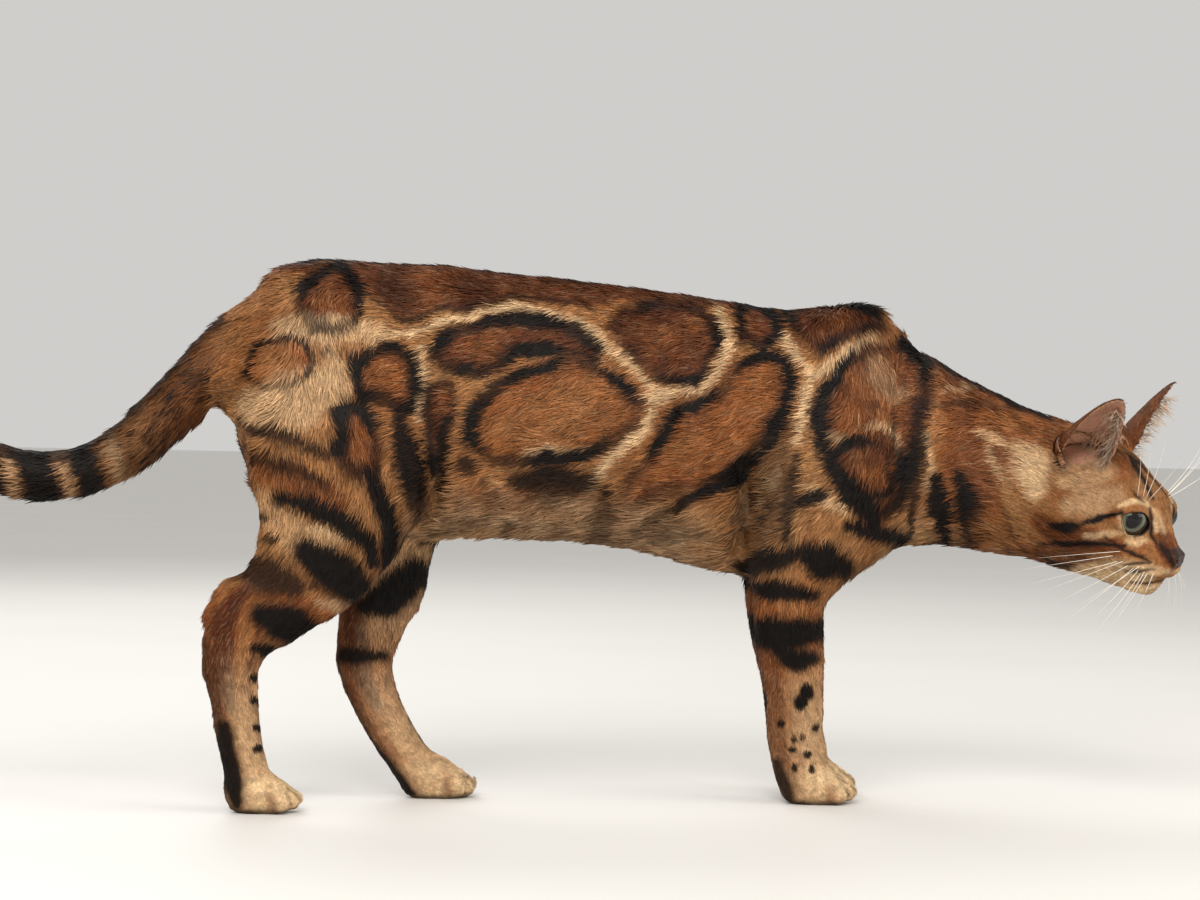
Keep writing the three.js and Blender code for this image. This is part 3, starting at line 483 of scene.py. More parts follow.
def zipped(points, first, second, axis):
    """Triangles between two rims that run round the same axis."""

    def ordered(rim):
        at = points[rim]
        middle = at.mean(axis=0)
        area = np.cross(at - middle, np.roll(at, -1, axis=0) - middle).sum(axis=0) @ axis
        return list(rim) if area > 0 else list(rim)[::-1]

    a, b = ordered(first), ordered(second)
    start = int(np.argmin(np.linalg.norm(points[b] - points[a[0]], axis=1)))
    b = b[start:] + b[:start]
    a, b = a + a[:1], b + b[:1]
    faces, i, j = [], 0, 0
    while i < len(a) - 1 or j < len(b) - 1:
        by_a = np.linalg.norm(points[a[min(i + 1, len(a) - 1)]] - points[b[j]])
        by_b = np.linalg.norm(points[a[i]] - points[b[min(j + 1, len(b) - 1)]])
        if j == len(b) - 1 or (i < len(a) - 1 and by_a <= by_b):
            faces.append([a[i], a[i + 1], b[j]])
            i += 1
        else:
            faces.append([a[i], b[j + 1], b[j]])
            j += 1
    return faces


def body_surface():
    """The body up to the cut at the neck: evened lightly at the feet, broadly on the trunk."""
    nodes = [n for n in FLESH if n not in HEAD_NODES + EAR_NODES]
    points, quads = remeshed([grown(n) for n in nodes] + [grown("head")], BODY_VOXEL)
    edges = edges_of(quads)
    height = points[:, 2]
    off_tail = fade(-points[:, 0], 40, 90)
    points = smoothed(points, edges, 30, 0.15 + 0.85 * step(height, 30, 110), 0.66)
    broad = step(height, 120, 170) * off_tail
    points = smoothed(points, edges, 90, broad, 0.619)
    return cut(points, quads, NECK_CUT[0] - NECK_CUT[1] * SEAM, -NECK_CUT[1],
               refine=lambda co: co.z < PAW_HEIGHT)


def head_surface():
    """The head from the cut at the neck, evened everywhere but on ears and muzzle."""
    solids = [grown(n) for n in HEAD_NODES + ("neck",)]
    solids += [ear_solid(side) for side in SIDES]
    solids += [ball(eye_centre(side), LID_RADIUS + FACE_DEPTH) for side in SIDES]
    points, quads = remeshed(solids, HEAD_VOXEL)
    edges = edges_of(quads)
    head = to_head(points)
    muzzle = step(head[:, 0], -34, -22)
    points = smoothed(points, edges, 40, (1 - ear_share(head)) * (1 - 0.7 * muzzle))
    points = smoothed(points, edges, 3)
    return cut(points, quads, NECK_CUT[0], NECK_CUT[1],
               refine=lambda co: (co - Vector(NOSE_TIP)).length < FACE_REACH)


def ear_share(head, low=2, high=9):
    """1 on the free part of the ears and 0 off them, for points in the head's frame."""
    share = np.zeros(len(head))
    for side in SIDES:
        rise, _, _ = ear_axes(side)
        away = head - on_side(EAR_BASE, side)
        along = away @ rise
        aside = apart(away, along[:, None] * rise)
        share = np.maximum(share, step(along, low, high) * (aside < 30))
    return share


FACE_DEPTH, EAR_DEPTH = 0.9, 0.35          # depth of the coat in mm
LEG_DEPTH, TRUNK_DEPTH = 1.3, 2.6


def coat_depth(points):
    """How far the skin lies inside the tips of the coat, in mm."""
    head = to_head(points)
    depth = LEG_DEPTH + (TRUNK_DEPTH - LEG_DEPTH) * step(points[:, 2], 30, 150)
    behind_rump = points[:, 0] < -30
    depth = np.where(behind_rump, TRUNK_DEPTH, depth)
    nape = step(-head[:, 0], 45, 92)
    depth = np.where(head[:, 0] > -112, FACE_DEPTH + (depth - FACE_DEPTH) * nape, depth)
    ear = ear_share(head)
    depth = depth * (1 - ear) + EAR_DEPTH * ear
    at_floor = bump(points[:, 2], 0, 5)
    return depth * (1 - 0.6 * at_floor)


def whole_surface():
    """Body and head surfaces joined into one."""
    body, body_faces, body_rim = body_surface()
    head, head_faces, head_rim = head_surface()
    points = np.concatenate([body, head])
    start = len(body)
    faces = body_faces + [[i + start for i in f] for f in head_faces]
    faces += zipped(points, body_rim, [i + start for i in head_rim], NECK_CUT[1])
    return points, faces


# ---------------------------------------------------------------- bones
# Each is a line of points down the middle of a part, in the way its hair lies, with the
# part's radius there. Legs are given by x, distance out from the middle, z and radius.
SPINE = [
    (352, 0, 206, 56), (310, 0, 208, 70), (235, 0, 214, 72), (145, 0, 222, 72),
    (60, 0, 228, 68), (6, 0, 236, 52)]
THROAT = [(455, -34, 181, 34), (430, -19, 187, 40), (402, -9, 195, 42), (358, -1, 203, 56)]
TAIL = [
    (14, 0, 262, 25), (-14, 0, 255, 22), (-38, 0, 234, 19), (-58, 0, 213, 17),
    (-78, 0, 195, 16), (-102, 0, 183, 15), (-128, 0, 181, 14), (-154, 3, 188, 13),
    (-178, 8, 203, 12), (-198, 14, 223, 11), (-206, 17, 236, 9)]
FRONT_LEG = [
    (329, 20, 262, 28), (337, 30, 212, 30), (328, 32, 178, 29), (304, 31, 144, 23),
    (293, 28, 117, 19), (296, 25, 92, 18), (300, 22, 66, 16), (301, 20, 44, 15),
    (305, 19, 22, 15), (322, 18.5, 8, 14)]
NEAR_HIND_LEG = [
    (30, 26, 250, 36), (35, 32, 196, 38), (33, 34, 168, 34), (25, 33, 143, 28),
    (10, 31, 121, 22), (-13, 29, 103, 18), (-20, 27, 83, 15), (-18, 26, 62, 13),
    (-15, 26, 42, 12), (-10, 25, 20, 13), (8, 25, 8, 13)]
FAR_HIND_LEG = [
    (42, 24, 250, 36), (62, 32, 194, 38), (68, 34, 166, 34), (70, 33, 141, 28),
    (69, 31, 118, 22), (63, 28, 97, 18), (59, 27, 78, 15), (65, 26, 58, 13),
    (74, 25, 40, 12), (88, 25, 20, 13), (112, 25, 8, 13)]
FRONT_STEP = 12.0                 # how far the left front paw stands ahead of the right one


def leg(stations, side, ahead=0.0):
    return [(x + ahead, side * out, z, radius) for x, out, z, radius in stations]


BONES = {
    "spine": SPINE,
    "throat": THROAT,
    "tail": TAIL,
    "front_right": leg(FRONT_LEG, RIGHT),
    "front_left": leg(FRONT_LEG, LEFT, FRONT_STEP),
    "hind_right": leg(NEAR_HIND_LEG, RIGHT),
    "hind_left": leg(FAR_HIND_LEG, LEFT),
}
BONE_NAMES = list(BONES)
LEGS = ("front_right", "front_left", "hind_right", "hind_left")


def near_line(points, line):
    """Distance from a chain of straight runs, and how many stations along it that is."""
    line = np.asarray(line, float)
    best = np.full(len(points), np.inf)
    at = np.zeros(len(points))
    for k in range(len(line) - 1):
        start, run = line[k], line[k + 1] - line[k]
        t = np.clip((points - start) @ run / (run @ run), 0, 1)
        gap = np.linalg.norm(points - start - t[:, None] * run, axis=1)
        closer = gap < best
        best[closer] = gap[closer]
        at[closer] = k + t[closer]
    return best, at


def along_line(line, at):
    """Points of a chain of runs at the given numbers of stations."""
    stations = np.arange(len(line))
    return np.stack([np.interp(at, stations, column) for column in np.asarray(line, float).T], 1)


class Lay:
    """How each skin point lies among the bones: the bone it belongs to, how far along and
    round it the point is, and the way hair would lie there if bones alone decided."""

    def __init__(self, points):
        share = np.zeros((len(BONES), len(points)))
        way = np.zeros((len(points), 3))
        ats, turns = [], []
        for number, line in enumerate(BONES.values()):
            line = np.asarray(line, float)
            gap, at = near_line(points, line[:, :3])
            radius = np.interp(at, np.arange(len(line)), line[:, 3])
            share[number] = np.exp(-4 * (gap / radius) ** 2) + 1e-12
            slope = along_line(np.gradient(line[:, :3], axis=0), at)
            way += share[number][:, None] ** 1.5 * unit(slope)
            ats.append(at)
            turns.append(turn_round(points, along_line(line[:, :3], at), unit(slope)))
        rows = np.arange(len(points))
        self.bone = share.argmax(axis=0)
        self.share = share / share.sum(axis=0)
        self.at = np.array(ats)[self.bone, rows]
        self.turn = np.array(turns)[self.bone, rows]
        self.way = unit(way)

    def on(self, name):
        return self.bone == BONE_NAMES.index(name)

    def picked(self, numbers):
        """The same for a choice of the points."""
        chosen = object.__new__(Lay)
        chosen.bone = self.bone[numbers]
        chosen.share = self.share[:, numbers]
        chosen.at = self.at[numbers]
        chosen.turn = self.turn[numbers]
        chosen.way = self.way[numbers]
        return chosen


def turn_round(points, middle, slope):
    """Angle round a bone from 0 to 1, measured from its rear or lower side."""
    side = np.array([0, 1, 0]) - slope * slope[:, 1:2]
    side = unit(side)
    front = np.cross(side, slope)
    out = points - middle
    return (np.arctan2((out * side).sum(1), (out * front).sum(1)) / (2 * math.pi) + 0.5) % 1.0


# ---------------------------------------------------------------- markings
# They are drawn as strokes, loops and spots on a side chart: where a point of the cat's
# right side shows in the 1200x900 picture, in pixels. The left side carries a shifted
# mirror image. Loop: width of its dark outline, warmth of its filling, corners.
BODY_LOOPS = {
    "croup": (9, 0.95, [(302, 312), (303, 288), (320, 270), (345, 266), (362, 285), (362, 316),
        (340, 330), (314, 327)]),
    "croup_pale": (5, 0.45, [(246, 372), (256, 345), (284, 333), (306, 336), (315, 356),
        (310, 376), (292, 384), (262, 386)]),
    "haunch": (12, 0.6, [(353, 374), (352, 358), (370, 348), (398, 346), (413, 356), (420, 385),
        (415, 413), (398, 410), (386, 400), (364, 396)]),
    "thigh": (13, 0.8, [(334, 412), (346, 400), (366, 406), (379, 426), (383, 448), (377, 474),
        (352, 478), (336, 452)]),
    "flank_strip": (9, 0.9, [(428, 390), (441, 378), (456, 386), (458, 402), (450, 424),
        (446, 452), (448, 482), (438, 492), (430, 468), (428, 420)]),
    "back_long": (11, 0.95, [(433, 357), (441, 338), (460, 329), (486, 321), (520, 317),
        (560, 320), (583, 330), (603, 347), (597, 364), (578, 358), (550, 349), (518, 354),
        (498, 368), (479, 377), (447, 370)]),
    "side_great": (11, 0.5, [(470, 440), (470, 420), (482, 399), (502, 381), (545, 363),
        (572, 355), (602, 366), (632, 386), (643, 406), (635, 426), (620, 442), (598, 456),
        (560, 462), (520, 460), (494, 464)]),
    "back_saddle": (9, 0.95, [(612, 330), (622, 312), (660, 303), (700, 306), (720, 320),
        (722, 346), (710, 370), (690, 381), (664, 378), (640, 364)]),
    "back_fore": (9, 0.95, [(740, 306), (762, 303), (780, 318), (782, 340), (762, 348),
        (742, 340)]),
    "rib_slant": (10, 0.62, [(745, 360), (766, 352), (787, 359), (795, 381), (790, 405),
        (775, 431), (750, 456), (724, 477), (690, 491), (660, 497), (640, 508), (618, 506),
        (626, 488), (643, 468), (656, 444), (668, 420), (692, 401), (722, 386)]),
    "withers": (9, 1.0, [(786, 312), (810, 302), (850, 300), (880, 310), (882, 328), (864, 328),
        (845, 338), (820, 352), (802, 342)]),
    "shoulder": (12, 0.85, [(866, 342), (900, 340), (930, 362), (932, 392), (921, 430),
        (915, 470), (904, 502), (880, 516), (846, 500), (829, 466), (820, 440), (818, 410),
        (827, 385), (842, 364)]),
    "shoulder_low": (8, 0.9, [(832, 455), (850, 437), (878, 434), (903, 446), (908, 472),
        (890, 492), (868, 498), (846, 484)]),
}
# Stroke: width, darkness, corners.
BODY_STROKES = {
    "swirl_a": (9, 0.85, [(832, 470), (838, 452), (856, 443), (876, 442), (888, 454)]),
    "swirl_b": (8, 0.8, [(896, 404), (892, 440), (890, 474), (896, 505)]),
    "dorsal_edge": (8, 0.8, [(366, 296), (400, 320), (430, 316), (470, 304), (520, 299),
        (560, 302), (592, 309)]),
    "spine_black": (9, 0.75, [(300, 264), (360, 259), (440, 263), (560, 277), (640, 289),
        (720, 300), (790, 312)]),
    "great_mark_a": (5, 0.6, [(518, 436), (530, 431), (542, 425)]),
    "great_mark_b": (6, 0.6, [(556, 430), (580, 440), (602, 446)]),
    "croup_short": (6, 0.5, [(240, 376), (270, 386)]),
    "haunch_tail": (24, 1.0, [(366, 472), (380, 496), (390, 520), (394, 546), (388, 570)]),
    "haunch_rear": (26, 0.95, [(402, 420), (408, 450), (414, 480), (418, 516)]),
    "flank_core": (20, 0.95, [(444, 420), (443, 455), (440, 488)]),
    "belly_dark_a": (36, 0.95, [(522, 478), (550, 482), (590, 482)]),
    "belly_dark_b": (24, 0.95, [(608, 490), (606, 515), (602, 545)]),
    "belly_dark_c": (9, 0.5, [(450, 486), (447, 505), (448, 522)]),
    "belly_dark_d": (10, 0.55, [(480, 478), (490, 492), (505, 496)]),
    "rib_under": (14, 1.0, [(790, 420), (766, 450), (740, 475), (700, 495), (662, 514),
        (640, 530)]),
    "low_bar_a": (11, 0.75, [(742, 498), (739, 515), (741, 532)]),
    "low_bar_b": (10, 0.75, [(700, 518), (695, 532), (690, 546)]),
    "low_bar_c": (10, 0.75, [(662, 520), (656, 533), (650, 546)]),
    # Painted shade in the fold behind the elbow.
    "elbow_shade": (54, 0.7, [(778, 430), (768, 485), (757, 545)]),
    "elbow_shade_b": (16, 0.85, [(800, 455), (790, 500), (786, 540)]),
    "withers_hair": (9, 0.9, [(800, 302), (835, 299), (880, 306)]),
    "shoulder_edge": (12, 0.85, [(917, 400), (922, 440), (916, 490), (908, 530)]),
    "arm_black_a": (26, 1.0, [(832, 464), (848, 486), (866, 506), (876, 524)]),
    "arm_black_b": (20, 1.0, [(850, 525), (876, 531), (904, 536)]),
    "arm_oval": (40, 1.0, [(808, 552), (824, 559), (842, 565)]),
    "arm_bar_top": (14, 0.95, [(796, 504), (812, 498), (826, 494)]),
    "arm_mid": (26, 0.95, [(746, 566), (770, 560), (797, 551)]),
    "arm_bar_a": (20, 1.0, [(744, 580), (764, 588), (788, 590), (814, 594)]),
    "arm_bar_b": (34, 1.0, [(744, 630), (780, 634), (820, 630)]),
    "arm_bar_c": (22, 1.0, [(778, 650), (796, 660), (812, 656)]),
    "nape": (17, 0.9, [(930, 362), (960, 376), (990, 390), (1020, 404), (1056, 420)]),
    "neck_low": (8, 0.7, [(940, 406), (970, 406), (1002, 411)]),
    "neck_bar_a": (22, 1.0, [(936, 478), (941, 505), (948, 540)]),
    "neck_bar_b": (26, 1.0, [(962, 480), (970, 508), (976, 538)]),
    "neck_bar_c": (8, 0.7, [(1002, 500), (1010, 520), (1014, 544)]),
    "thigh_dark_a": (15, 0.85, [(242, 424), (285, 436), (330, 456)]),
    "thigh_dark_b": (16, 0.8, [(246, 452), (285, 464), (328, 484)]),
    "thigh_black": (22, 1.0, [(276, 496), (310, 504), (342, 518), (366, 540), (374, 560)]),
    "thigh_mass": (42, 1.0, [(306, 550), (330, 566), (352, 582), (374, 598)]),
    "knee_black": (22, 1.0, [(386, 504), (390, 535), (386, 566)]),
    "thigh_rear": (38, 0.85, [(244, 568), (268, 574), (296, 584)]),
    "shank_black": (38, 1.0, [(262, 614), (288, 624), (318, 632)]),
    "shank_bar": (13, 1.0, [(254, 648), (268, 650), (280, 652)]),
    "hock_rear": (12, 0.5, [(205, 640), (212, 690), (220, 730)]),
    "heel": (22, 0.95, [(222, 726), (228, 765), (236, 802)]),
    "front_heel": (13, 0.85, [(778, 762), (782, 782), (790, 802)]),
    "front_sole": (6, 0.8, [(784, 803), (812, 804)]),
    "hind_sole": (6, 0.8, [(236, 812), (262, 813)]),
}
BODY_PALE = {
    "croup_a": (52, 0.6, [(256, 408), (296, 400), (330, 380)]),
    "croup_b": (24, 0.6, [(284, 326), (330, 326), (384, 334)]),
    "thigh_pale": (30, 0.35, [(262, 500), (300, 540), (330, 545)]),
    "shoulder_a": (7, 0.55, [(868, 424), (884, 422), (900, 438), (904, 462)]),
    "shoulder_b": (8, 0.5, [(824, 432), (842, 440), (858, 434)]),
    "shoulder_c": (26, 0.3, [(874, 360), (884, 385), (900, 395)]),
    "back_line": (8, 0.85, [(396, 335), (440, 325), (480, 312), (520, 309), (560, 317),
        (590, 328), (610, 345), (636, 368), (657, 388)]),
    "junction": (17, 0.85, [(650, 396), (662, 396), (674, 392)]),
    "side_line_a": (9, 0.8, [(672, 390), (700, 387), (722, 370), (731, 350), (729, 330),
        (722, 312)]),
    "side_line_b": (10, 0.8, [(656, 402), (646, 428), (626, 450), (606, 466), (590, 490)]),
    "scapula_a": (9, 0.8, [(774, 318), (790, 345), (803, 364), (813, 376)]),
    "scapula_b": (9, 0.8, [(872, 334), (846, 352), (822, 369), (812, 378)]),
    "scapula_c": (11, 0.8, [(810, 376), (806, 402), (801, 442)]),
    "elbow": (10, 0.6, [(812, 486), (826, 500), (848, 510)]),
    "neck_a": (5, 0.5, [(942, 392), (980, 391), (1018, 394)]),
    "neck_b": (11, 0.55, [(980, 434), (994, 438), (1006, 446)]),
    "neck_c": (8, 0.6, [(990, 450), (1005, 480), (1010, 512)]),
    "behind_ear": (30, 0.75, [(1024, 452), (1027, 472), (1030, 494)]),
    "edge_line": (5, 0.6, [(926, 430), (930, 460), (926, 492)]),
    "haunch_gap": (14, 0.5, [(326, 345), (336, 362), (344, 388), (326, 405)]),
    "rear_line": (9, 0.7, [(420, 345), (424, 372), (421, 420)]),
    "under_great": (12, 0.7, [(530, 452), (560, 455), (590, 452)]),
    "thigh_gap": (10, 0.6, [(300, 524), (324, 530), (348, 538)]),
    "shank_gap": (12, 0.5, [(320, 600), (345, 606), (365, 612)]),
}
# Spot: half width, half height, darkness, centres.
BODY_SPOTS = {
    "croup_spots": (7, 5, 0.7, [(325, 350), (340, 352)]),
    "flank_spot": (11, 12, 0.85, [(468, 466)]),
    "shoulder_spots": (5, 5, 0.7, [(888, 380), (905, 382), (894, 455), (872, 404)]),
    "arm_spots": (8, 9, 1.0, [(806, 691), (800, 702)]),
    "arm_thin": (3, 9, 0.9, [(765, 700)]),
    "wrist_spots": (5, 4.5, 0.95, [(781, 724), (808, 754), (792, 749)]),
    "wrist_dots": (3.5, 4.5, 0.9, [(815, 727), (793, 738), (802, 737), (795, 768), (812, 768)]),
    "hock_spots": (6, 5, 0.95, [(254, 679), (254, 699), (256, 728), (257, 748)]),
    "belly_spots": (9, 7, 0.55, [(470, 520), (505, 530), (562, 528), (640, 540), (676, 548)]),
    "thigh_spots": (10, 6, 0.8, [(262, 516), (272, 538), (318, 582)]),
}
# Where the coat is rusty without a dark outline.
BODY_WARM = {
    "throat": (34, 0.95, [(988, 500), (1000, 530), (1024, 548)]),
    "hock": (24, 1.0, [(246, 590), (224, 616), (222, 660), (230, 706)]),
    "shin": (12, 0.8, [(262, 604), (258, 640), (244, 690)]),
    "shank": (26, 0.6, [(262, 596), (300, 604), (330, 612)]),
    "haunch_low": (30, 0.7, [(262, 470), (300, 480), (340, 500)]),
    "arm_front": (20, 0.5, [(812, 606), (816, 640), (806, 672)]),
    "belly": (50, 0.8, [(470, 505), (560, 515), (680, 535)]),
}
# What the camera sees on the inner face of the far hind leg.
FAR_STROKES = {
    "inner_a": (32, 1.0, [(386, 582), (412, 574), (438, 572)]),
    "inner_b": (34, 1.0, [(366, 604), (386, 598), (408, 590)]),
    "inner_c": (16, 0.95, [(328, 652), (352, 655), (384, 656)]),
    "inner_rear": (9, 0.6, [(333, 662), (352, 705), (372, 745)]),
    "inner_heel": (16, 0.95, [(374, 748), (392, 775), (412, 796)]),
}
HEAD_STROKES = {
    "eye_line": (6, 1.0, [(1122, 513), (1105, 517), (1090, 522), (1078, 526)]),
    "eye_line_end": (11, 1.0, [(1078, 527), (1066, 528), (1052, 526)]),
    "cheek_line": (5, 1.0, [(1042, 545), (1060, 543), (1090, 543), (1125, 546)]),
    "under_eye": (4, 0.9, [(1106, 537), (1123, 549), (1140, 556), (1150, 562)]),
    "mouth_corner": (7, 0.8, [(1045, 556), (1056, 562), (1072, 566)]),
    "nose_side": (9, 0.85, [(1160, 545), (1168, 554), (1173, 564)]),
    "inner_corner": (4, 0.9, [(1150, 508), (1151, 522), (1151, 534), (1157, 546)]),
    "brow_a": (4.5, 0.95, [(1113, 437), (1128, 454), (1138, 470), (1147, 487), (1153, 500)]),
    "brow_b": (4.5, 0.95, [(1121, 440), (1137, 452), (1148, 464), (1158, 478), (1168, 491)]),
    "brow_c": (2, 0.6, [(1138, 464), (1142, 477), (1146, 490)]),
    "brow_d": (3, 0.8, [(1131, 489), (1138, 498), (1144, 502)]),
    "bridge": (2.5, 0.8, [(1168, 500), (1173, 520), (1177, 538)]),
    "pad_row_a": (3, 0.85, [(1124, 565), (1136, 563), (1150, 563)]),
    "pad_row_b": (3, 0.8, [(1126, 571), (1138, 571), (1154, 569)]),
    "jaw_line": (8, 0.6, [(1010, 548), (1040, 566), (1076, 578)]),
    "lip_line": (2.5, 0.8, [(1130, 582), (1150, 583), (1170, 579)]),
    "throat_a": (7, 0.55, [(1000, 500), (1012, 530), (1030, 552)]),
    "nape_end": (8, 0.8, [(1040, 412), (1056, 418), (1070, 424)]),
}
HEAD_PALE = {
    "lid": (3, 0.9, [(1119, 514), (1122, 526), (1130, 536), (1142, 537)]),
    "brow": (5, 0.9, [(1119, 506), (1130, 502), (1143, 501), (1150, 507)]),
    "inner_eye": (7, 0.85, [(1153, 522), (1156, 530)]),
    "under_eye": (7, 0.7, [(1127, 541), (1136, 543), (1146, 540)]),
    "pad": (24, 0.95, [(1082, 571), (1104, 574), (1126, 573), (1148, 572)]),
    "chin": (14, 0.95, [(1104, 586), (1130, 592), (1158, 588)]),
    "cheek_low": (7, 0.6, [(1086, 536), (1104, 534), (1120, 533)]),
    "bridge": (8, 0.5, [(1154, 510), (1158, 520), (1164, 532)]),
    "temple": (24, 0.4, [(1066, 482), (1084, 482), (1110, 470)]),
    "cheek": (26, 0.4, [(1070, 506), (1096, 502), (1116, 496)]),
    "lip": (9, 0.65, [(1130, 571), (1150, 570), (1168, 571)]),
    "behind_ear": (30, 0.75, [(1032, 450), (1034, 468), (1036, 490)]),
}
HEAD_WARM = {
    "bridge": (18, 0.9, [(1160, 530), (1166, 545), (1170, 560)]),
    "pad": (10, 0.3, [(1140, 560), (1156, 566), (1170, 568)]),
    "cheek": (22, 0.85, [(1040, 520), (1062, 540), (1096, 540), (1118, 548)]),
    "jaw": (16, 0.8, [(1034, 552), (1060, 556), (1090, 562)]),
    "nape": (26, 0.8, [(1040, 425), (1058, 436), (1066, 452)]),
}
BODY_CREAM, HEAD_CREAM = 0.78, 0.88        # strength of the pale strokes
LEFT_SHIFT = (13.0, 4.0)                   # of the left side's marks on the chart
BACK_EDGE = ([250, 370, 400, 430, 520, 590, 640, 740, 800, 880],     # chart x, and y of the
             [262, 296, 320, 314, 299, 309, 305, 312, 312, 300])     # dark back's lower edge
ELBOW_FOLD_SHADE = (764, 500), (26, 55)          # chart middle and spread of the painted shade in the folds of skin behind the elbow
BELLY_LEVEL = 548.0                        # chart height below which all is belly
TAIL_GRIZZLE = (235.0, 130.0)     # chart x where the tail turns grizzled, and where it ends
TAIL_RINGS = (122.0, 66.0, 12.0, -34.0)    # chart x of its pale rings
TAIL_RING = 7.0


def chart_of(points):
    """Side chart of body points: each one as if it lay on the cat's right side."""
    flipped = points * [1, 0, 1] - np.abs(points) * [0, 1, 0]
    left = step(points[:, 1], 0, 14)[:, None]
    chart = as_seen(flipped)
    chart += left * (np.array(LEFT_SHIFT) + 9 * wander(points, 55, 31))
    return chart + 3.2 * wander(points, 13, 33) + 1.6 * wander(points, 4, 35)


def leg_chart(points, name):
    """Side chart of the points of a leg, by the like place on the right leg of its pair."""
    if name == "front_left":
        points = on_side(points, RIGHT) - [FRONT_STEP, 0, 0]
    if name == "hind_left":
        here, there = (np.array(BONES[n])[:, :3] for n in ("hind_left", "hind_right"))
        _, at = near_line(points, here)
        points = on_side(points - along_line(here, at), RIGHT) + along_line(there, at)
    return as_seen(points) + 1.8 * wander(points, 9, 37)


def within(chart, corners, margin):
    """Numbers of the chart points in the box round some corners."""
    low = np.min(corners, axis=0) - margin
    high = np.max(corners, axis=0) + margin
    return np.flatnonzero(((chart > low) & (chart < high)).all(axis=1))


def stroke(chart, width, strength, corners, into):
    """Draws a soft-edged stroke into a mask. Its ends are narrower than its middle."""
    corners = np.asarray(corners, float)
    hit = within(chart, corners, width)
    if not len(hit):
        return
    gap, at = near_line(chart[hit], corners)
    end = len(corners) - 1
    half = 1.15 * width / 2 * (0.55 + 0.45 * np.sin(math.pi * np.clip(at / end, 0.06, 0.94)))
    soft = 1.2 + 0.2 * width
    into[hit] = np.maximum(into[hit], strength * fade(gap, half - soft, half + soft))


def strokes(chart, table, strength=1.0):
    """Mask of all the strokes of a table."""
    mask = np.zeros(len(chart))
    for width, share, corners in table.values():
        stroke(chart, width, strength * share, corners, mask)
    return mask


def depth_in(chart, corners):
    """Distance inside a closed loop, negative outside it."""
    loop = np.asarray(corners + corners[:1], float)
    gap, _ = near_line(chart, loop)
    inside = np.zeros(len(chart), bool)
    x, y = chart.T
    for (x0, y0), (x1, y1) in zip(loop[:-1], loop[1:]):
        crosses = (y0 > y) != (y1 > y)
        rise = (y1 - y0) if y1 != y0 else 1.0
        inside ^= crosses & (x < (x1 - x0) * (y - y0) / rise + x0)
    return np.where(inside, gap, -gap)


def loop(chart, width, warmth, corners, warm, dark):
    """Draws a rosette: a dark outline, broken here and there, round a warm filling."""
    hit = within(chart, corners, width)
    if not len(hit):
        return
    depth = depth_in(chart[hit], corners)
    at = np.pad(chart[hit], ((0, 0), (0, 1)))
    outline = fade(np.abs(depth - 0.25 * width), 0.3 * width, 1.15 * width)
    outline *= 0.88 + 0.35 * noise(at, 26, 41)
    middle = step(depth, 4, 26)
    filling = warmth * step(depth, -2, 3) * (1 - 0.22 * middle + 0.2 * noise(at, 17, 42))
    mottle = warmth * step(depth, 0, 6) * (0.25 + 0.5 * noise(at, 9, 43)) * (1 - 0.5 * middle)
    warm[hit] = np.maximum(warm[hit], np.clip(filling, 0, 1))
    dark[hit] = np.maximum(dark[hit], np.clip(np.maximum(outline, mottle), 0, 1))


def spots(chart, half_width, half_height, strength, centres, dark):
    for centre in centres:
        hit = within(chart, [centre], 2 * max(half_width, half_height))
        away = np.linalg.norm((chart[hit] - centre) / [half_width, half_height], axis=1)
        dark[hit] = np.maximum(dark[hit], strength * fade(away, 0.65, 1.2))


def draw_body(chart):
    """Warm, dark and pale masks of the body's markings on a chart."""
    warm = strokes(chart, BODY_WARM)
    dark = strokes(chart, BODY_STROKES)
    for width, warmth, corners in BODY_LOOPS.values():
        loop(chart, width, warmth, corners, warm, dark)
    for half_width, half_height, strength, centres in BODY_SPOTS.values():
        spots(chart, half_width, half_height, strength, centres, dark)
    return warm, dark, strokes(chart, BODY_PALE, BODY_CREAM)


def mottled(points, low, scale, size, seed):
    """A cloudy mask that starts from a low value."""
    return np.clip(low + scale * noise(points, size, seed), 0, 1)


def shade_elbow_fold(points, chart, dark, pale):
    """Dark and pale streaks in the fold behind the elbow, where painted shade darkens the coat."""
    (x, y), (wide, high) = ELBOW_FOLD_SHADE
    here = bump(chart[:, 0], x, wide) * bump(chart[:, 1], y, high)
    streak = noise(points * [1.6, 1, 0.35], 4, 44)
    dark[:] = np.maximum(dark, here * np.clip(0.55 + 1.2 * streak, 0, 1))
    pale[:] = np.maximum(pale, here * np.clip(-0.25 - 1.6 * streak, 0, 0.6))


